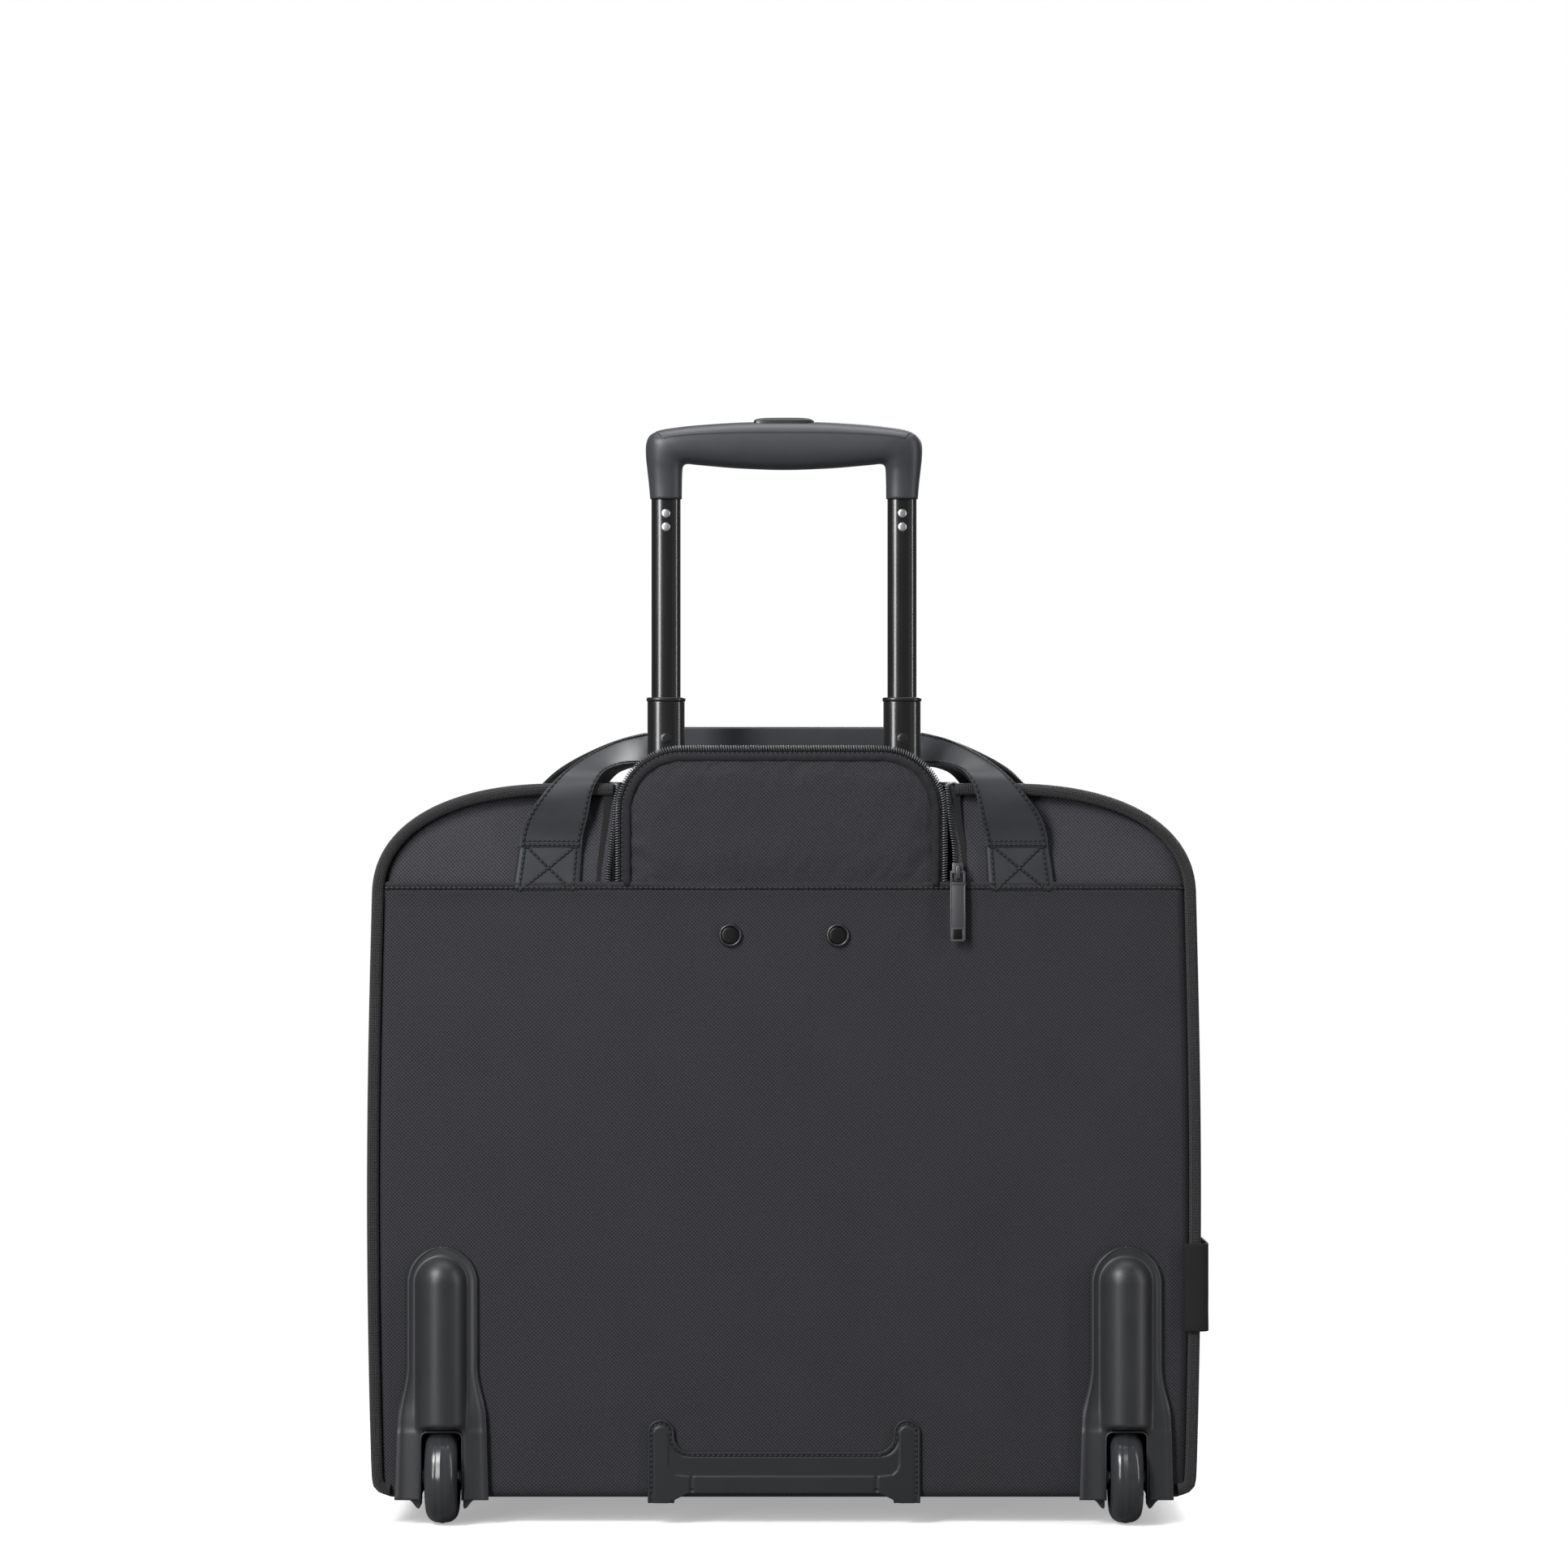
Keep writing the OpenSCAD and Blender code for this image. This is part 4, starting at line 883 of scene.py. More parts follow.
def pillow(name, half_width, x0, z_low, z_high, middle_y, thickness, material, rows=60, columns=90,
           power=10, open_bottom=False):
    """A closed padded form: front and back grids that meet at the edge."""
    zs = spaced(z_low, z_high, rows, 0.8)
    points, uvs = [], []
    for face in (-1, 1):
        for i, z in enumerate(zs):
            v = 2 * i / (rows - 1) - 1
            w = half_width(z)
            for u in spaced(-1, 1, columns, 0.8):
                rim = (1 - abs(u) ** power) * (1 - (abs(v) ** power if v > 0 or not open_bottom else 0))
                points.append((x0 + u * w, middle_y + face * thickness / 2 * math.sqrt(max(rim, 0)), z))
                uvs.append((x0 + u * w, z))
    count = rows * columns
    faces = grid_faces(rows, columns)
    faces += [tuple(count + k for k in f[::-1]) for f in grid_faces(rows, columns)]
    piece = put(name, points, faces, material, uvs)
    return weld(piece, 0.02 * MM)


def weld(piece, distance=0.001 * MM):
    return modify(piece, "WELD", merge_threshold=distance)


def round_rect_half(z, z_low, z_high, half, r):
    """Half the width of an upright rounded rectangle at a height."""
    rise = max(r - (z - z_low), r - (z_high - z), 0)
    return half - r + math.sqrt(max(r * r - rise * rise, (0.02 * r) ** 2))


# ---- the front ----

POCKET_R = 34 * MM
POCKET_T = 13.2 * MM


def front_faces():
    cover = panel("front_panel_cover", FRONT_Y, 1, BODY_LOW + 6.5 * MM, BODY_TOP - PANEL_INSET, "front_cover",
                  "fabric", swell=1.2 * MM)
    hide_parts("front_panel")
    panel("front_cover_lining", FRONT_Y - 3.2 * MM, -1, BODY_LOW + 8 * MM, BODY_TOP - PANEL_INSET - 1 * MM,
          "front_cover", "lining", swell=0.4 * MM, inset=PANEL_INSET + 1 * MM)
    low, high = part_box("front_pocket")
    pocket_low, pocket_high, half, corner = low.z + 1 * MM, high.z - 1 * MM, high.x - 1.5 * MM, POCKET_R
    pad = pillow("front_pocket_pad", lambda z: round_rect_half(z, pocket_low, pocket_high, half, corner), 0,
                 pocket_low, pocket_high, FRONT_Y + 7.4 * MM, POCKET_T, "fabric_xz", 64, 96, 16)
    held = [v.index for v in pad.data.vertices if v.co.y < FRONT_Y + 2.2 * MM or rim_distance(
        v.co, pocket_low, pocket_high, half, corner) < 1.5 * MM]
    puff(pad, held, 3.0, 0.015, 16, 4 * MM)
    for v in pad.data.vertices:
        rim = rim_distance(v.co, pocket_low, pocket_high, half, corner)
        v.co.y += min(1, rim / (30 * MM)) * (0.9 * MM * wave(v.co.x, v.co.z, 60 * MM, 6)
                                             + 0.3 * MM * wave(v.co.x, v.co.z, 22 * MM, 2))
        v.co.y = min(max(v.co.y, FRONT_Y + 0.6 * MM), high.y + 4 * MM)
    settle(pad, "front_cover", "front_pocket")
    edge = rounded_loop(half + 0.4 * MM, pocket_low - 0.4 * MM, pocket_high + 0.4 * MM, corner)
    path = stand(edge, FRONT_Y + 3.0 * MM)
    sweep("front_pocket_piping", path, circle(1.7 * MM, 12), FORWARDS, "binding", caps=False, body="front_cover",
          slot="piping")
    outer = stand(rounded_loop(half + 4 * MM, pocket_low - 4 * MM, pocket_high + 4 * MM, corner + 3 * MM),
                  FRONT_Y + 1.3 * MM)
    stitch("front_cover", outer, FORWARDS)

    low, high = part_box("pocket_zip")
    zip_z, length = (low.z + high.z) / 2, high.x
    line = np.array([(x, FRONT_Y + 1.6 * MM, zip_z) for x in np.linspace(-length, length, 160)])
    tape = sweep("pocket_zip_tape", line, rounded_box(13 * MM, TAPE_T, TAPE_R), FORWARDS, "tape",
                 body="front_cover", slot="zip")
    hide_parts("pocket_zip")
    teeth = Pattern()
    for side in (-1, 1):
        add_beads(teeth, line + UP * side * 1.1 * MM + FORWARDS * 0.5 * MM, FORWARDS, 1.5 * MM,
                  POCKET_TOOTH, 0.0, ACROSS)
        lip = line + UP * side * 6.2 * MM + FORWARDS * 0.3 * MM
        sweep(f"pocket_zip_lip_{'upper' if side > 0 else 'lower'}", lip, rounded_box(5.5 * MM, 1.6 * MM, 0.7 * MM),
              FORWARDS, "fabric", body="front_cover", slot="woven_fabric")
        stitch("front_cover", lip + FORWARDS * 0.85 * MM + UP * side * 0.6 * MM, FORWARDS)
    teeth.put("pocket_zip_teeth", "teeth", "front_cover", "zip")


def rim_distance(point, z_low, z_high, half, corner):
    return min(round_rect_half(point.z, z_low, z_high, half, corner) - abs(point.x), point.z - z_low, z_high - point.z)


def rounded_loop(half, z_low, z_high, r, steps=14):
    """A closed rounded rectangle in X and Z, about the middle of the case."""
    points = []
    for cx, cz, a0 in ((1, 1, 0), (-1, 1, 90), (-1, 0, 180), (1, 0, 270)):
        z = z_high - r if cz else z_low + r
        for k in range(steps + 1):
            a = math.radians(a0 + 90 * k / steps)
            points.append((cx * (half - r) + r * math.cos(a), z + r * math.sin(a)))
    points = np.array(points + points[:1])
    return resample(points, 3 * MM)


def hinge_strip():
    """The soft strip of fabric on which the front cover folds down."""
    profile = smooth_path([(0, FRONT_Y - 8 * MM, BODY_LOW + 1.1 * MM), (0, FRONT_Y - 2 * MM, BODY_LOW + 1.3 * MM),
                           (0, FRONT_Y + 0.4 * MM, BODY_LOW + 3.6 * MM), (0, FRONT_Y + 0.5 * MM, BODY_LOW + 9 * MM)],
                          1.2 * MM)
    xs = np.linspace(-HALF_W + 12 * MM, HALF_W - 12 * MM, 100)
    points = [(x, p[1], p[2]) for p in profile for x in xs]
    uvs = [(x, s) for s in arc_length(profile) for x in xs]
    faces = flipped(grid_faces(len(profile), len(xs)))
    strip = put("front_hinge_strip", points, faces, "binding", uvs)
    modify(strip, "SOLIDIFY", thickness=0.9 * MM, offset=-1.0)
    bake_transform(strip)
    cloth(strip, "stretched", 2, ["front_panel"])


# ---- softened copies of the moulded CAD parts ----

def soften(name, node, material, body, voxel, rounds):
    """A copy of a moulded CAD part with its edges rounded as a mould leaves them."""
    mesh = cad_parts[node].data.copy()
    mesh.materials.clear()
    piece = bpy.data.objects.new(name, mesh)
    bpy.context.scene.collection.objects.link(piece)
    weld(piece)
    modify(piece, "REMESH", mode="VOXEL", voxel_size=voxel, use_smooth_shade=True)
    modify(piece, "SMOOTH", factor=0.5, iterations=rounds)
    piece.data.materials.append(MAT[material])
    settle(piece, body, node)
    return piece


def loft(name, centre, levels, power, material, body, node=None, capped=True, sides=48):
    """Rounded sections (half width, half depth, height in mm) stacked about an upright axis at X and Y."""
    a = np.linspace(0, 2 * math.pi, sides, endpoint=False)
    across = np.sign(np.cos(a)) * np.abs(np.cos(a)) ** (2 / power)
    deep = np.sign(np.sin(a)) * np.abs(np.sin(a)) ** (2 / power)
    points = [(centre[0] + w * MM * c, centre[1] + d * MM * e, z * MM) for w, d, z in levels
              for c, e in zip(across, deep)]
    faces = grid_faces(len(levels), sides, wrap=True)
    if capped:
        faces += [tuple(range(sides))[::-1], tuple(range(len(points) - sides, len(points)))]
    piece = put(name, points, faces, material)
    if body:
        settle(piece, body, node)
    return piece


def half_box(node):
    """A node's middle in X and Y in metres, and its half width, half depth, bottom and top in mm."""
    low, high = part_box(node)
    return (((low.x + high.x) / 2, (low.y + high.y) / 2), (high.x - low.x) / 2 / MM, (high.y - low.y) / 2 / MM,
            low.z / MM, high.z / MM)


TUBE_WALL = 1.0  # in mm


def tube_levels(w, d, low, high):
    """The sections of a hollow tube: up its outside, over the rim and down its inside."""
    inside = (w - TUBE_WALL, d - TUBE_WALL)
    return [(w, d, low), (w, d, low + 0.4), (w, d, high - 0.4), (w - 0.1, d - 0.1, high), (*inside, high),
            (*inside, low), (w, d, low)]


def tube_pair():
    """Oval drawn tubes of both stages, with the moulded collars and snap nubs."""
    for side in ("left", "right"):
        centre, w, d, low, high = half_box(f"upper_tube_{side}")
        loft(f"upper_tube_{side}_oval", centre, tube_levels(w, d, low, high), 2.25, "tube", "upper_stage",
             f"upper_tube_{side}", capped=False)
        bore_w, bore_d = w + 0.2, d + 0.8
        centre, w, d, low, top = half_box(f"lower_tube_{side}")
        loft(f"lower_tube_{side}_oval", centre, tube_levels(w, d, low, top), 2.35, "tube", "lower_stage",
             f"lower_tube_{side}", capped=False)
        inside = (w - TUBE_WALL, d - TUBE_WALL)
        levels = [(bore_w, bore_d, top - 30), (*inside, top - 30), (*inside, top - 0.1), (w + 0.1, d + 0.1, top),
                  (w + 0.5, d + 0.5, top + 0.4), (w + 0.5, d + 0.5, top + 1.5), (w + 0.3, d + 0.3, top + 2),
                  (w - 0.1, d - 0.1, top + 2.2), (bore_w + 0.3, bore_d + 0.3, top + 2.2),
                  (bore_w, bore_d, top + 1.8), (bore_w, bore_d, top - 30)]
        loft(f"lower_collar_{side}_bush", centre, levels, 2.35, "collar", "lower_stage",
             f"lower_collar_{side}", capped=False)
        nub = (centre[0], centre[1] - (d - 0.2) * MM, (top - 20.1) * MM)
        turned(f"snap_nub_{side}", [(3.1, -1.0), (3.1, 0.1), (2.9, 0.3), (2.6, 0.2), (2.4, 0.36), (1.5, 0.46),
                                    (0.3, 0.48)], [nub], "collar", "lower_stage", "collar_plastic")


GRIP_STATIONS = [  # outer edge, inner edge and half depth, from a leg's foot round the corner to the middle, in mm
    ((72.6, 0.0), (55.4, 0.0), 7.3), ((73.3, 8.0), (55.3, 8.0), 7.7), ((74.2, 16.0), (55.1, 14.6), 8.7),
    ((74.9, 23.0), (54.8, 17.2), 9.8), ((74.8, 29.6), (54.0, 18.4), 10.6), ((72.9, 34.2), (52.8, 18.9), 11.1),
    ((68.0, 36.8), (51.0, 18.9), 11.3), ((60.0, 38.3), (48.5, 18.6), 11.5), ((46.0, 39.8), (41.0, 17.9), 11.5),
    ((24.0, 41.2), (24.0, 16.5), 11.5), ((0.0, 41.6), (0.0, 15.7), 11.5),
]


def trolley_grip():
    """The moulded grip: an oval bar that turns smoothly down into its two legs, with a cap along its top."""
    centre_y = half_box("grip_shell")[0][1]
    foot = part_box("grip_shell")[0].z
    outer = np.array([(-a[0], 0, a[1]) for a, _, _ in GRIP_STATIONS])
    inner = np.array([(-b[0], 0, b[1]) for _, b, _ in GRIP_STATIONS])
    depth = np.array([(c, 0, 0) for _, _, c in GRIP_STATIONS])
    both = [np.vstack([e, (e * mirror)[-2::-1]]) for e, mirror in ((outer, [-1, 1, 1]), (inner, [-1, 1, 1]),
                                                                  (depth, [1, 1, 1]))]
    samples, sides, power = 161, 44, 2.35
    outer, inner, depth = [by_station(e, samples) for e in both]

    def sections(grow, first, last, a0, a1, count):
        points = []
        for k in range(first, last):
            middle, half = (outer[k] + inner[k]) / 2, (outer[k] - inner[k]) / 2
            reach = 1 + grow / np.linalg.norm(half)
            for a in np.linspace(a0, a1, count, endpoint=a1 - a0 < 6.2):
                c, e = math.cos(a), math.sin(a)
                up = math.copysign(abs(e) ** (2 / power), e) * reach
                back = math.copysign(abs(c) ** (2 / power), c) * (depth[k][0] + grow)
                p = middle + half * up
                points.append((p[0] * MM, centre_y - back * MM, foot + p[2] * MM))
        return points
    points = sections(0, 0, samples, 0, 2 * math.pi, sides)
    faces = flipped(grid_faces(samples, sides, wrap=True))
    faces += [tuple(range(sides)), tuple(range(len(points) - sides, len(points)))[::-1]]
    shell = put("grip_shell_moulding", points, faces, "grip")
    first, count = 46, 30
    points = sections(0.22, first, samples - first, math.radians(27), math.radians(153), count)
    # The cap's lighter plastic is a painted highlight along the grip's top.
    cap = put("grip_cap_moulding", points, flipped(grid_faces(samples - 2 * first, count)), "grip_top")
    modify(cap, "SOLIDIFY", thickness=1.0 * MM, offset=-1.0)
    centre, w, d, low, high = half_box("release_button")
    hole = (w + 0.4, d + 0.4)
    cutter = loft("button_hole", centre, [(*hole, low - 4.5), (*hole, high + 5)], 5, "button", None)
    for piece, node in ((shell, "grip_shell"), (cap, "grip_cap")):
        modify(piece, "BOOLEAN", operation="DIFFERENCE", object=cutter, solver="EXACT")
        settle(piece, "upper_stage", node)
    bpy.data.objects.remove(cutter)
    levels = [(w, d, low), (w, d, low + 0.5), (w, d, high - 2.1), (w - 0.4, d - 0.3, high - 1.4),
              (w - 1.4, d - 0.9, high - 0.8), (w - 3.2, d - 1.8, high - 0.4), (w - 6, d - 2.9, high - 0.12),
              (w * 0.35, d * 0.3, high)]
    loft("release_button_cap", centre, levels, 5, "button", "release", "release_button")


# the opening over a wheel, in mm: half its width, the radius of its corners and its top
ARCH, ARCH_R, ARCH_TOP = 11.2, 4.0, 50.8
DOME_R, DOME_TOP = 14.35, 131  # the dome, in mm: its radius, and the height where its round end starts


def wheel_cowls():
    """The moulded cowls over the wheels: a rounded dome on a flange that flares towards the wheel."""
    def blend(a, b, soft):
        return (a + b + math.sqrt((a - b) ** 2 + soft ** 2)) / 2

    def flare(z):
        return smoothstep((86 - z) / 30)

    def half_width(z):
        over = max(z - 130.6, 0) / 19.9
        return (20 + 4.2 * flare(z) + max(58 - z, 0) * 0.03) * math.sqrt(max(1 - over * over, 0.0004))

    def proud(u, z):
        edge = half_width(z) - abs(u)
        rim = 3.0 * (1 - math.exp(-max(edge, 0) / 0.7)) + 0.5 * math.exp(-((edge - 2.2) / 1.1) ** 2)
        dome = math.sqrt(max(DOME_R ** 2 - u ** 2 - max(z - DOME_TOP, 0) ** 2, 0)) - 1.0
        cheek = 3.2 + 1.3 * flare(z) * smoothstep((21.5 - abs(u)) / 10)
        foot = smoothstep((z - 50.2) / 4.5)
        dome = cheek + (dome - cheek) * foot if z < 56 else dome
        return max(blend(blend(rim, dome, 1.6), cheek * flare(z), 1.4) - 0.4, 0.2 if edge < 0.05 else rim * 0.8)

    rows, columns = 150, 61
    zs = np.concatenate([np.linspace(13.8, 60, 56)[:-1], spaced(60, 150.4, rows - 55, 0.6)])
    for side, label in ((-1, "left"), (1, "right")):
        points = []
        for z in zs:
            w = half_width(z)
            for u in spaced(-w, w, columns, 0.35):
                points.append((side * WHEEL_X + u * MM, REAR_Y - proud(u, z) * MM, z * MM))

        def keep(r, c):
            x, _, z = points[r * columns + c]
            u, z = abs(x - side * WHEEL_X) / MM, z / MM
            corner = math.hypot(max(u - ARCH + ARCH_R, 0), max(z - ARCH_TOP + ARCH_R, 0))
            return z > ARCH_TOP or u > ARCH or corner > ARCH_R and z > ARCH_TOP - ARCH_R
        arch = [(-ARCH, 13.9), (-ARCH, 30), (-ARCH, ARCH_TOP - ARCH_R)]
        arch += [(-ARCH + ARCH_R - ARCH_R * math.cos(a), ARCH_TOP - ARCH_R + ARCH_R * math.sin(a))
                 for a in np.linspace(0.2, math.pi / 2, 8)]
        arch += [(-u, z) for u, z in arch[::-1]]
        wall = []
        for u, z in arch:
            lip = proud(abs(u) + 0.3, z + (0.4 if z > 47 else 0))
            wall += [(side * WHEEL_X + u * MM, REAR_Y - t * MM, z * MM) for t in (lip + 0.3, lip * 0.5, -4.0)]
        lining = put(f"wheel_cowl_{label}_arch", wall, grid_faces(len(arch), 3), "housing")
        modify(lining, "SOLIDIFY", thickness=0.9 * MM, offset=0.0)
        settle(lining, "case")
        skin = put(f"wheel_cowl_{label}_skin", points, grid_faces(rows, columns, keep=keep), "housing")
        modify(skin, "SOLIDIFY", thickness=1.2 * MM, offset=-1.0)
        modify(skin, "SMOOTH", factor=0.5, iterations=2)
        settle(skin, "case")


def moulded_parts():
    fine = 0.75 * MM
    for side in ("left", "right"):
        shell = soften(f"wheel_housing_{side}_shell", f"wheel_housing_{side}", "housing", "case",
                       fine, 5)
        for v in shell.data.vertices:
            v.co.y = max(v.co.y, REAR_Y - 1.5 * MM)
    wheel_cowls()
    tube_pair()
    trolley_grip()
    soften("base_bumper_plate", "base_bumper", "bumper", "case", 0.4 * MM, 3)
    soften("front_feet_pads", "front_feet", "housing", "case", 0.8 * MM, 4)
    bumper_stitches()


def bumper_stitches():
    """The sewn groove inside the raised rim of the skid plate."""
    low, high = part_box("base_bumper")
    y = low.y + 0.95 * MM
    reach = high.x - 2 * MM
    arm = reach - 10.4 * MM
    top, bar = high.z - 2 * MM, 37.6 * MM
    half = [(reach, 17 * MM), (reach, top - 5.2 * MM)]
    half += [(reach - 5.2 * MM + 5.2 * MM * math.cos(a), top - 5.2 * MM + 5.2 * MM * math.sin(a))
             for a in np.linspace(0.2, math.pi, 10)]
    half += [(arm, bar + 11 * MM)]
    half += [(arm - 11 * MM + 11 * MM * math.cos(a), bar + 11 * MM + 11 * MM * math.sin(a))
             for a in np.linspace(0, -math.pi / 2, 9)[1:]]
    half = np.array(half + [(0, bar)])
    line = np.vstack([half, (half * [-1, 1])[::-1][1:]])
    stitch("case", stand(resample(line, 1.5 * MM), y), REARWARDS)


# ---- the trolley cover: a padded D with a zip round it ----

FLAP_HALF = (FLAP_HIGH.x - FLAP_LOW.x) / 2
FLAP_TOP = FLAP_HIGH.z
PAD_INSET = 8.2 * MM  # from the zip's outer edge in to the padding, and to the binding, tape and teeth
BINDING_INSET = 6.7 * MM
TAPE_INSET = 4.2 * MM
TEETH_INSET = 1.75 * MM
PAD_T = 3.2 * MM


def flap_edge(inset, low=HEM_Z - 1 * MM, step=2 * MM):
    """The flap's edge in X and Z, from its lower left corner over the top to its lower right."""
    half, r = FLAP_HALF - inset, FLAP_R - inset
    points = [(-half, low), (-half, FLAP_TOP - FLAP_R)]
    for a in np.radians(np.linspace(180, 90, 16))[1:]:
        points.append((-half + r + r * math.cos(a), FLAP_TOP - inset - r + r * math.sin(a)))
    points += [(-x, z) for x, z in points[::-1]]
    return resample(np.array(points), step) + [FLAP_X, 0]


def flap_half_width(z, inset):
    half, r = FLAP_HALF - inset, FLAP_R - inset
    over = z - (FLAP_TOP - inset - r)
    return half if over <= 0 else half - r + math.sqrt(max(r * r - over * over, 0))


def trolley_cover():
    y = REAR_Y - 0.2 * MM
    inset = PAD_INSET
    base = HEM_Z - 3 * MM
    pad = pillow("cover_flap_pad", lambda z: flap_half_width(z, inset), FLAP_X, base, FLAP_TOP - inset, y + 0.6 * MM,
                 PAD_T, "fabric_xz", 56, 110, 12, open_bottom=True)

    def rim(v):
        return min(flap_half_width(v.co.z, inset) - abs(v.co.x - FLAP_X), FLAP_TOP - inset - v.co.z)
    held = [v.index for v in pad.data.vertices
            if rim(v) < 0.8 * MM or v.co.z < HEM_Z + 1 * MM or v.co.y > y + 1.2 * MM]
    puff(pad, held, 3.0, 0.006, 16, 1.4 * MM)
    for v in pad.data.vertices:
        x, z = v.co.x - FLAP_X, v.co.z
        near = math.exp(-max(rim(v), 0) / (8 * MM))
        pucker = math.sin((x + z) / (2.6 * MM) + 5 * wave(x, z, 26 * MM)) * near
        v.co.y += 0.3 * MM * pucker + 0.5 * MM * wave(x, z, 34 * MM, 1.7) + 0.2 * MM * wave(x, z, 12 * MM, 8)
        v.co.y = min(max(v.co.y, y - 2.6 * MM), y + 3.4 * MM)
    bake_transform(pad)
    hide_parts("cover_flap")

    band = sweep("cover_flap_binding", stand(flap_edge(BINDING_INSET), y), rounded_box(4.2 * MM, 3.6 * MM, 1.7 * MM),
                 REARWARDS, "binding")
    for v in band.data.vertices:
        s = math.atan2(v.co.z - HEM_Z, v.co.x - FLAP_X)
        v.co.y += 0.2 * MM * math.sin(s * 80 + 4 * wave(v.co.x, v.co.z, 20 * MM))
    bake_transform(band)

    sweep("cover_flap_tape", stand(flap_edge(TAPE_INSET), y + 0.9 * MM), rounded_box(5.4 * MM, TAPE_T, TAPE_R),
          REARWARDS, "tape", body="trolley_cover", slot="zip")
    teeth = Pattern()
    add_beads(teeth, stand(flap_edge(TEETH_INSET, HEM_Z + 1 * MM), y + 0.3 * MM), REARWARDS,
              COVER_PITCH, FLAP_TOOTH, 0.0, ACROSS - TOOTH_SLANT)
    piece = teeth.put("cover_flap_teeth", "teeth", "trolley_cover", "zip")
    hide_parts("flap_zip_coil")
    stitch("trolley_cover", stand(flap_edge(4.3 * MM, HEM_Z + 1 * MM), y + 0.5 * MM), REARWARDS, 2.6 * MM)


def case_coil():
    """The case's half of the cover zip: up beside the flap, over the edge and round the well."""
    ridge = BODY_TOP - 0.1 * MM
    halves = []
    for side in (-1, 1):
        half = [(side * coil_x(z, side), REAR_Y - 0.3 * MM, z)
                for z in np.linspace(HEM_Z - 2 * MM, BODY_TOP - 6 * MM, 12)]
        reach = coil_x(BODY_TOP, side)
        half += [(side * reach, REAR_Y + 2 * MM, ridge - 1 * MM), (side * (reach + 3 * MM), REAR_Y + 10 * MM, ridge),
                 (side * (reach + 4 * MM), WELL_FRONT_Y - 8 * MM, ridge),
                 (side * (reach - 4 * MM), WELL_FRONT_Y + 3 * MM, ridge),
                 (side * 60 * MM, WELL_FRONT_Y + 3.5 * MM, ridge)]
        halves.append(half)
    path = smooth_path(halves[0] + halves[1][::-1], 1.2 * MM)
    rise = np.clip((path[:, 1] - REAR_Y) / (8 * MM), 0, 1)[:, None]
    normal = unit(REARWARDS * (1 - rise) + UP * rise)
    teeth = Pattern()
    add_beads(teeth, path, normal, COVER_PITCH, CASE_TOOTH, 0.0, ACROSS + TOOTH_SLANT)
    piece = teeth.put("case_cover_teeth", "teeth", "case", "zip")
    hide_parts("cover_zip_coil")
    out = unit(np.cross(unit(np.gradient(path, axis=0)), normal))
    tape_path = path - out * 3.2 * MM - normal * 1.5 * MM
    sweep("case_cover_tape", tape_path, rounded_box(6.4 * MM, TAPE_T, TAPE_R), normal, "tape", body="case",
          slot="zip")


# ---- zip sliders and pulls, made lying flat with the zip along X and the pull towards +X ----

def blocks(name, boxes, material, place, body, node=None, bevel=0.28 * MM):
    """Rounded bars and plates, from boxes in millimetres, put in place together."""
    points, faces = [], []
    sides = ((0, 2, 3, 1), (4, 5, 7, 6), (0, 1, 5, 4), (2, 6, 7, 3), (0, 4, 6, 2), (1, 3, 7, 5))
    for low, high in boxes:
        base = len(points)
        points += [place @ (Vector([(low, high)[k >> a & 1][a] for a in range(3)]) * MM) for k in range(8)]
        faces += [tuple(base + i for i in f) for f in sides]
    piece = put(name, points, faces, material)
    modify(piece, "BEVEL", width=bevel, segments=3)
    settle(piece, body, node)


def zip_slider(name, place, body, node):
    blocks(name, [((-5, -3, 0), (5, 3, 0.8)), ((-4.6, -2.7, 1.5), (4.8, 2.7, 2.3)),
                  ((-4.4, -0.8, 0.6), (-1.5, 0.8, 1.8)), ((-1.5, -3.3, 0.1), (4.9, -2.6, 2.2)),
                  ((-1.5, 2.6, 0.1), (4.9, 3.3, 2.2))],
           "gunmetal", place, body, node)
    arch = smooth_path(np.array([(-3.6, 0, 2.0), (-3.3, 0, 4.0), (-1.6, 0, 5.0), (0.6, 0, 5.1), (2.6, 0, 4.6),
                                 (3.4, 0, 3.4), (3.6, 0, 2.0)]) * MM, 0.4 * MM)
    arch = np.array([place @ Vector(p) for p in arch])
    across = np.array(place.to_3x3() @ Vector((0, 1, 0)))
    sweep(name + "_bail", arch, rounded_box(0.8 * MM, 1.9 * MM, 0.3 * MM), across, "gunmetal", body=body,
          slot="dark_metal")


def zip_pull(name, length, place, body, node):
    z0, z1 = 2.65, 3.95
    blocks(name, [((-0.6, -4.1, z0), (0.7, 4.1, z1)), ((0, -4.1, z0), (6, -2.9, z1)), ((0, 2.9, z0), (6, 4.1, z1)),
                  ((5.2, -4.1, z0), (6.8, 4.1, z1)), ((6, -4.1, z0), (length - 0.7, -3.2, z1)),
                  ((6, 3.2, z0), (length - 0.7, 4.1, z1)), ((length - 1.9, -4.1, z0), (length - 0.7, 4.1, z1)),
                  ((6, -3.6, z0 + 0.2), (length - 1, 3.6, z1 - 0.3)),
                  ((length - 8.1, -3.4, z0 + 0.2), (length - 7.3, 3.4, z1 - 0.05)),
                  ((length - 7.3, -3.4, z0 + 0.2), (length - 1.5, -2.5, z1 - 0.05)),
                  ((length - 7.3, 2.5, z0 + 0.2), (length - 1.5, 3.4, z1 - 0.05))],
           "gunmetal", place, body, node)
    blocks(name + "_inlay", [((length - 7.2, -2.4, z1 - 0.4), (length - 2, 2.4, z1 - 0.18))], "cap", place, body,
           bevel=0.05 * MM)


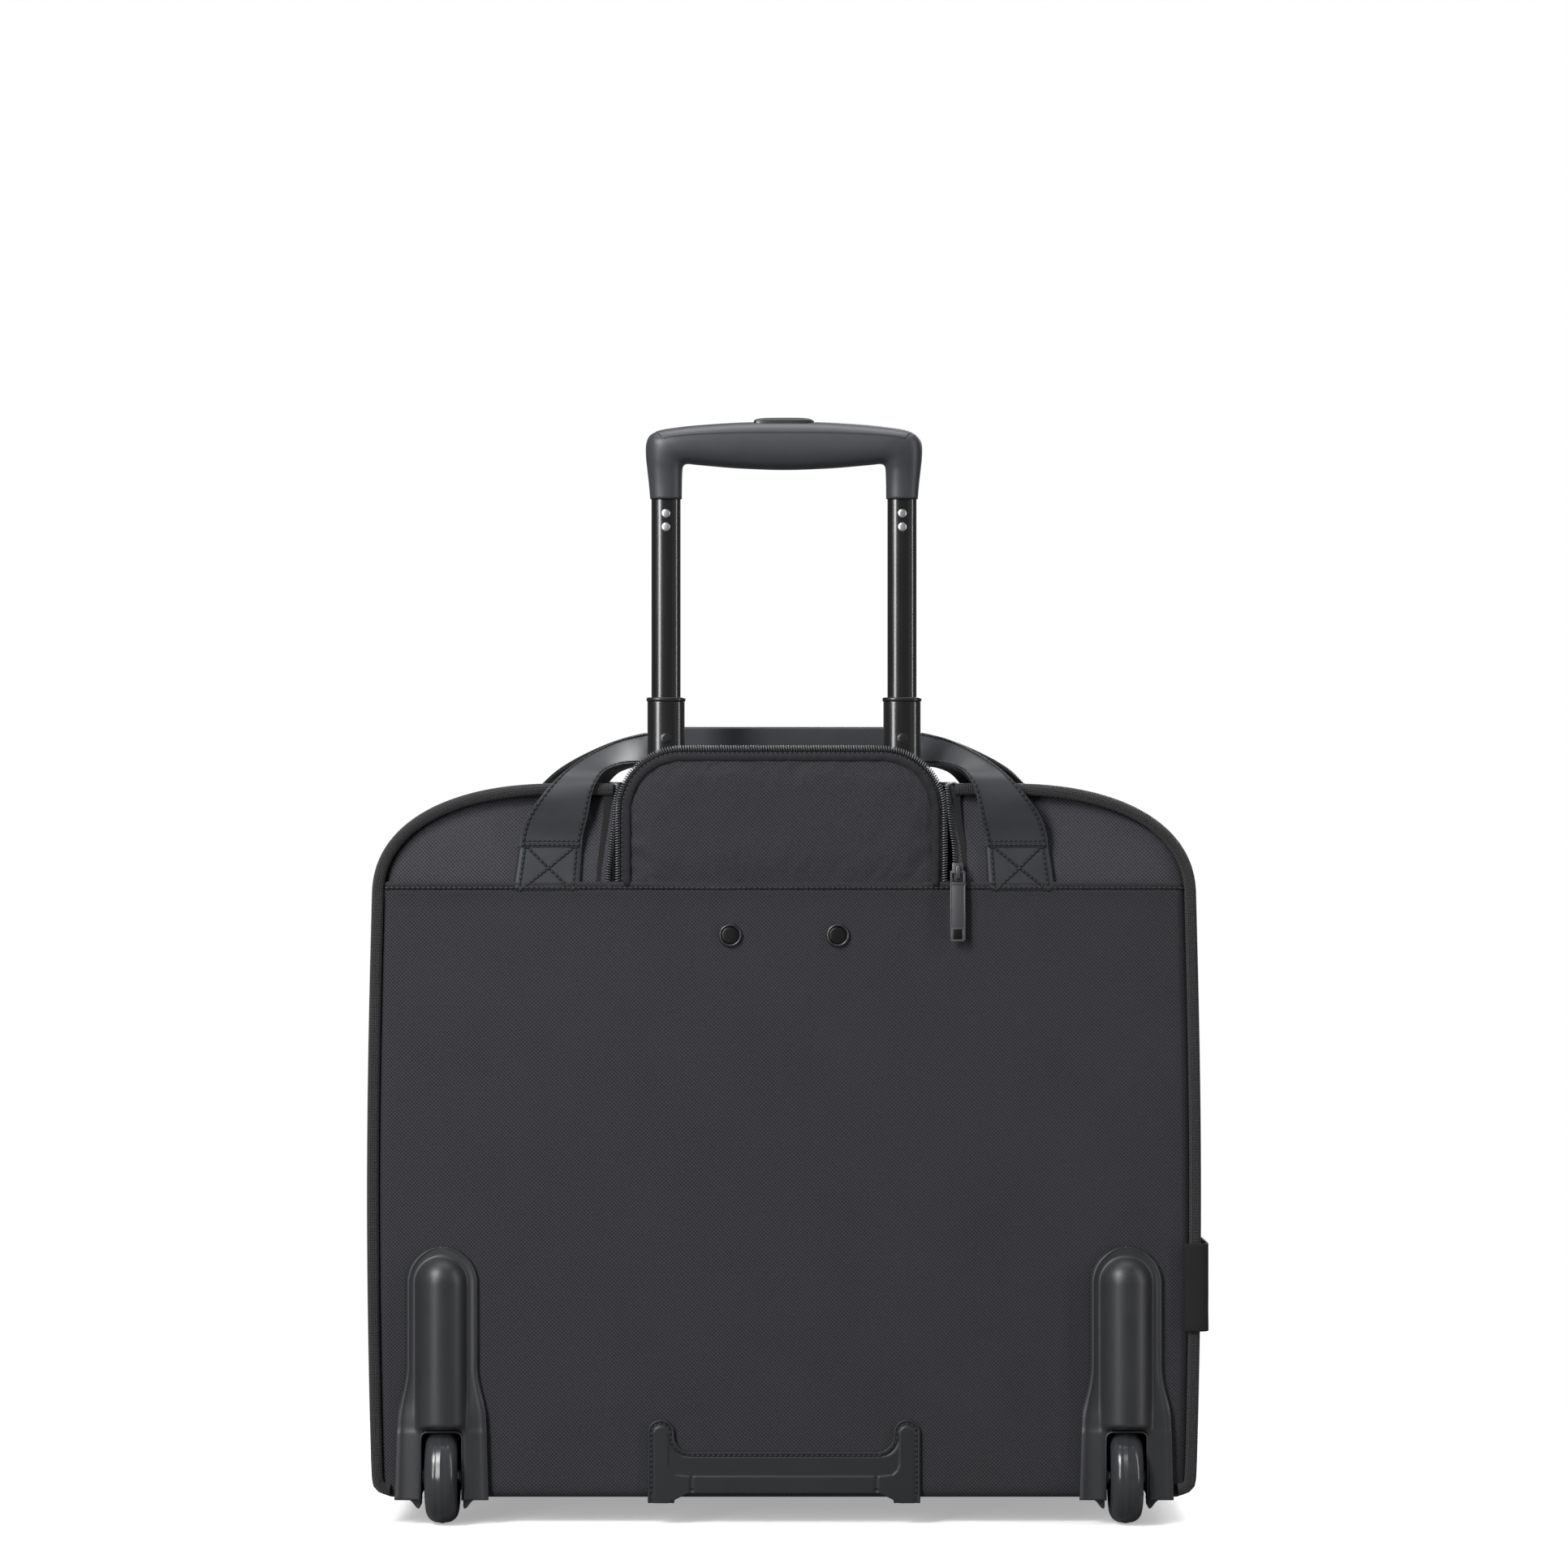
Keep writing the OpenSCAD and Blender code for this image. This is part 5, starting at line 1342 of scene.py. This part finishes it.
def zip_parts():
    low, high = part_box("cover_slider")
    at = Vector(((low.x + high.x) / 2, high.y, (low.z + high.z) / 2))
    hanging = Matrix(((0, 1, 0, at.x), (0, 0, -1, at.y), (-1, 0, 0, at.z), (0, 0, 0, 1)))
    zip_slider("cover_zip_slider_body", hanging, "cover_zip_slider", "cover_slider")
    zip_pull("cover_zip_pull_tab", 38, hanging, "cover_zip_pull", "cover_pull")
    for side, label in ((-1, "left"), (1, "right")):
        low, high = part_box(f"main_slider_{label}")
        lying = Matrix.Translation(((low.x + high.x) / 2, (low.y + high.y) / 2, low.z))
        if side > 0:
            lying = lying @ Matrix.Rotation(math.pi, 4, "Z")
        zip_slider(f"main_{label}_slider_body", lying, f"{label}_zip_slider", f"main_slider_{label}")
        zip_pull(f"main_{label}_pull_tab", 24, lying, f"{label}_zip_pull", f"main_pull_{label}")


# ---- carry handles ----

STRAP_W = 33 * MM
STRAP_T = 2.4 * MM
FRONT_SPREAD = 14 * MM  # how far the front handle's straps bow out on their way up
GRIP_Y = 79.5 * MM  # how far in from its face a handle's grip lies
STRAP_FOOT = 367.6 * MM
PATCH_TOP = 367.2 * MM
CREST_X = (-64, -30, 0)  # stations along the grip, in mm
STRAP_ROUTE = [  # outer and inner edge at stations from the anchor to the grip: X, way in, height
    ((-142.5, 0.0, 365.6), (-109.0, 0.0, 365.6)),
    ((-141.6, -0.8, 372.5), (-108.2, -0.8, 372.5)),
    ((-138.1, -2.9, 382.5), (-105.6, -2.9, 382.5)),
    ((-129.5, -4.3, 394.5), (-103.3, -4.3, 394.5)),
    ((-119.5, 1.0, 405.5), (-100.0, -3.0, 402.5)),
    ((-108.0, 20.0, 414.5), (-95.0, 4.0, 408.0)),
    ((-92.0, 47.0, 423.5), (-86.0, 24.0, 410.8)),
    ((-76.0, 72.0, 428.2), (-74.0, 52.0, 411.8)),
]


def smoothstep(t):
    t = min(max(t, 0), 1)
    return t * t * (3 - 2 * t)


def by_station(points, samples):
    """A Catmull-Rom curve sampled evenly by station, so that two edges stay paired."""
    p = np.vstack([2 * points[0] - points[1], points, 2 * points[-1] - points[-2]])
    result = []
    for s in np.linspace(0, len(points) - 1 - 1e-9, samples):
        k = int(s)
        t = s - k
        a, b, c, d = p[k:k + 4]
        result.append(0.5 * (2 * b + (c - a) * t + (2 * a - 5 * b + 4 * c - d) * t ** 2
                             + (3 * b - a - 3 * c + d) * t ** 3))
    return np.array(result)


def strap_rows(face_y, facing, spread, half=17):
    """Rows of points across the strap: flat at its ends, folded double in the grip."""
    crest, drop, leg = HANDLE_TOP + 0.5 * MM, 17.2 * MM, 1.9 * MM
    outer = [np.array(o) * MM for o, _ in STRAP_ROUTE] + [np.array((x * MM, GRIP_Y, crest)) for x in CREST_X]
    inner = [np.array(i) * MM for _, i in STRAP_ROUTE]
    inner += [np.array((x * MM, GRIP_Y - 20 * MM, crest - 12 * MM)) for x in CREST_X]
    for p in outer[1:]:
        bell = math.sin(math.pi * min(max((p[2] - STRAP_FOOT) / (HANDLE_TOP - STRAP_FOOT), 0), 1))
        p[0] -= spread * bell * min(1, max(0, (abs(p[0]) - 60 * MM) / (20 * MM)))
    curves = []
    for edge in (outer, inner):
        both = np.array(edge + [e * [-1, 1, 1] for e in edge[-2::-1]])
        curves.append(by_station(both, 110))
    rows = []
    for o, i in zip(*curves):
        fold = smoothstep((76 * MM - abs((o[0] + i[0]) / 2)) / (14 * MM))
        row = []
        for k in range(2 * half + 1):
            w = (k - half) / half
            flat = o + (i - o) * (w + 1) / 2
            down = max(abs(w) - 0.12, 0) / 0.88
            bent = np.array([flat[0], GRIP_Y + math.copysign(leg * min(abs(w) / 0.12, 1), -w),
                             crest - 0.9 * MM * min(abs(w) / 0.12, 1) ** 2 - down * drop])
            p = flat * (1 - fold) + bent * fold
            row.append((p[0], face_y - facing * p[1], p[2]))
        rows.append(row)
    return np.array(rows)


def carry_handle(label, face_y, facing, fixed, moving, node, spread):
    rows = strap_rows(face_y, facing, spread)
    n, m = rows.shape[:2]
    along = arc_length(rows[:, m // 2])
    uvs = [(along[i], STRAP_W * j / (m - 1)) for i in range(n) for j in range(m)]
    faces = flipped(grid_faces(n, m), facing > 0)
    piece = put(f"{label}_handle_strap", rows.reshape(-1, 3), faces, "pu", uvs)
    piece.data.materials.append(MAT["backing"])
    piece.data.materials.append(MAT["pu_edge"])
    modify(piece, "SOLIDIFY", thickness=STRAP_T, offset=-1.0, material_offset=1, material_offset_rim=2)
    modify(piece, "BEVEL", width=0.5 * MM, segments=2, limit_method="ANGLE", angle_limit=math.radians(50))
    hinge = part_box(node)[0].z
    start, end = (0, face_y, hinge - 1 * MM), (0, face_y, hinge + 16 * MM)
    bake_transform(piece)
    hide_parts(node)
    normals = unit(np.cross(np.gradient(rows, axis=0), np.gradient(rows, axis=1))) * facing
    for column in (2, m - 3):
        add_beads(stitches[moving], rows[:, column], normals[:, column], STRAP_PITCH, STITCH, STITCH_LIFT, STITCH_SLANT)
    for end_row in (rows[0], rows[-1]):
        for up in (1.2, 3.4):
            add_beads(stitches[fixed], (end_row + UP * up * MM)[1:-1], np.array([0, facing, 0.0]), PATCH_PITCH, STITCH,
                      STITCH_LIFT, STITCH_SLANT)
    return start, end


def anchor_patch(label, face_y, facing, bottom, body, node):
    """Leather patches under the strap ends, each sewn down with a box and a cross."""
    for side in (-1, 1):
        corners = np.array([(side * 110.0 * MM, bottom), (side * 146.5 * MM, bottom),
                            (side * 142.8 * MM, PATCH_TOP), (side * 108.4 * MM, PATCH_TOP)])

        def at(u, t):
            low = corners[0] * (1 - u) + corners[1] * u
            high = corners[3] * (1 - u) + corners[2] * u
            return low * (1 - t) + high * t
        rows, columns = 22, 30
        points, uvs = [], []
        for r in range(rows):
            for c in range(columns):
                t, u = r / (rows - 1), c / (columns - 1)
                x, z = at(u, t)
                rim = min(u, 1 - u, 2 * (1 - t)) * 36 * MM
                lift = 1.3 * MM * (1 - math.exp(-rim / (0.5 * MM))) + 0.15 * MM * wave(x, z, 11 * MM)
                points.append((x, face_y + facing * lift, z))
                uvs.append((x, z))
        faces = flipped(grid_faces(rows, columns), side * facing > 0)
        patch = put(f"{label}_anchor_{'left' if side < 0 else 'right'}", points, faces, "pu", uvs)
        modify(patch, "SOLIDIFY", thickness=1.2 * MM, offset=-1.0)
        settle(patch, body, node if side > 0 else None)
        for a, b in (((0.1, 0.0), (0.1, 1.0)), ((0.9, 0.0), (0.9, 1.0)), ((0.1, 0.98), (0.9, 0.0)),
                     ((0.1, 0.0), (0.9, 0.98))):
            line = []
            for k in np.linspace(0, 1, 9):
                x, z = at(a[0] + (b[0] - a[0]) * k, a[1] + (b[1] - a[1]) * k)
                line.append((x, face_y + facing * 1.4 * MM, z))
            add_beads(stitches[body], np.array(line), np.array([0, facing, 0.0]), PATCH_PITCH, STITCH, 0.05 * MM,
                      STITCH_SLANT)


def side_pull():
    """The smooth pull tab on the right side, sewn down at the rear edge and on the side."""
    low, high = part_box("side_tab")
    plan = smooth_path([(low.x - 1 * MM, low.y + 1.9 * MM, 0), (low.x + 3 * MM, low.y + 0.9 * MM, 0),
                        (high.x - 3.4 * MM, low.y + 1.1 * MM, 0), (high.x - 0.9 * MM, low.y + 4 * MM, 0),
                        (high.x - 0.7 * MM, low.y + 14 * MM, 0), (high.x - 1.4 * MM, high.y - 8 * MM, 0),
                        (high.x - 3.4 * MM, high.y, 0)], 1.2 * MM)
    points, uvs = [], []
    along = arc_length(plan)
    for p, s in zip(plan, along):
        for z in np.linspace(low.z + 0.4 * MM, high.z - 0.4 * MM, 26):
            points.append((p[0] + 0.15 * MM * wave(s, z, 14 * MM), p[1], z))
            uvs.append((s, z))
    faces = flipped(grid_faces(len(plan), 26))
    # The tab's near-black leather is painted shade.
    piece = put("side_pull_tab", points, faces, "tab", uvs)
    modify(piece, "SOLIDIFY", thickness=1.3 * MM, offset=1.0)
    modify(piece, "BEVEL", width=0.4 * MM, segments=2, limit_method="ANGLE", angle_limit=math.radians(50))
    settle(piece, "case", "side_tab")
    for z in (low.z + 2.4 * MM, high.z - 2.4 * MM):
        line = [(p[0], p[1], z) for p in plan[6:]]
        _, _, out = frames_along(np.array(line), np.array([0.7, -0.7, 0]))
        add_beads(stitches["case"], np.array(line), out, STITCH_PITCH, STITCH, 0.1 * MM, 0.0)


# ---- turned parts ----

def turned(name, profile, centres, material, body, slot, node=None, sides=28):
    """Copies of one turned piece: a profile of (radius, height) pairs spun about an axis that looks rearwards."""
    pattern = Pattern()
    for centre in centres:
        points = []
        for radius, height in profile:
            for k in range(sides):
                a = 2 * math.pi * k / sides
                points.append((centre[0] + radius * MM * math.cos(a), centre[1] - height * MM,
                               centre[2] + radius * MM * math.sin(a)))
        pattern.add(points, grid_faces(len(profile), sides, wrap=True) + [
            tuple((len(profile) - 1) * sides + k for k in range(sides))])
    piece = pattern.put(name, material, body, slot)
    if node:
        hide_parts(node)
    return piece


def rivets_and_studs():
    low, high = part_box("tube_rivets")
    r = 2.4 * MM
    x, face = high.x - r, low.y + 0.6 * MM
    centres = [(s * x, face, z) for s in (-1, 1) for z in (low.z + r, high.z - r)]
    turned("tube_rivet_heads", [(2.4, -0.2), (2.4, 0.1), (2.2, 0.3), (1.8, 0.46), (1.2, 0.55),
                                (0.6, 0.58), (0.2, 0.58)], centres, "chrome", "upper_stage", "chrome", "tube_rivets")
    low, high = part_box("stud_rings")
    x, z = high.x - 6.3 * MM, (low.z + high.z) / 2
    centres = [(s * x, REAR_Y - 0.3 * MM, z) for s in (-1, 1)]
    turned("stud_ring_rims", [(6.3, -0.6), (6.3, 0.6), (6.15, 1.2), (5.8, 1.6), (5.4, 1.7), (5.05, 1.5), (4.85, 1.0),
                              (4.75, 0.2)], centres, "stud", "case", "stud_ring", "stud_rings", 44)
    turned("stud_cap_discs", [(4.7, -0.4), (4.7, 0.5), (4.5, 0.85), (4.0, 0.95), (2, 1.0), (0.4, 1.0)], centres, "cap",
           "case", "stud_cap", "stud_caps", 44)


# ---- build everything ----

rear_faces()
sides()
main_zip()
pipings()
front_faces()
hinge_strip()
moulded_parts()
trolley_cover()
case_coil()
zip_parts()
side_pull()
rivets_and_studs()
anchor_patch("rear", REAR_Y + 0.4 * MM, -1, HEM_Z - 4 * MM, "case", "rear_anchors")
anchor_patch("front", FRONT_Y + 0.6 * MM, 1, 330 * MM, "front_cover", "front_anchors")
spans = {
    "rear_carry_handle": ("case", carry_handle("rear", REAR_Y - 1.5 * MM, -1, "case", "rear_carry_handle",
                                               "rear_handle", 0)),
    "front_carry_handle": ("front_cover", carry_handle("front", FRONT_Y + 2.3 * MM, 1, "front_cover",
                                                       "front_carry_handle", "front_handle", FRONT_SPREAD)),
}
for body, pattern in stitches.items():
    if not pattern.points:
        continue
    piece = pattern.put(f"stitches_{body}", "thread", None, "woven_fabric")
    if body in spans:
        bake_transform(piece)
    else:
        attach(piece, body)

NODE_MATERIALS = {
    "well_liner": "lining", "back_board": "board", "base_board": "board", "laptop_divider": "lining",
    "housing_tube_left": "aluminium", "housing_tube_right": "aluminium", "trolley_bezel": "collar",
    "base_bracket": "collar", "axle_left": "chrome", "axle_right": "chrome", "axle_spacers": "gunmetal",
    "release_yoke": "steel", "lock_pins": "steel", "tyre_left": "tyre", "tyre_right": "tyre", "hub_left": "housing",
    "hub_right": "housing", "bearings_left": "steel", "bearings_right": "steel",
}
for node, material in NODE_MATERIALS.items():
    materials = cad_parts[node].data.materials
    materials.clear()
    materials.append(MAT[material])
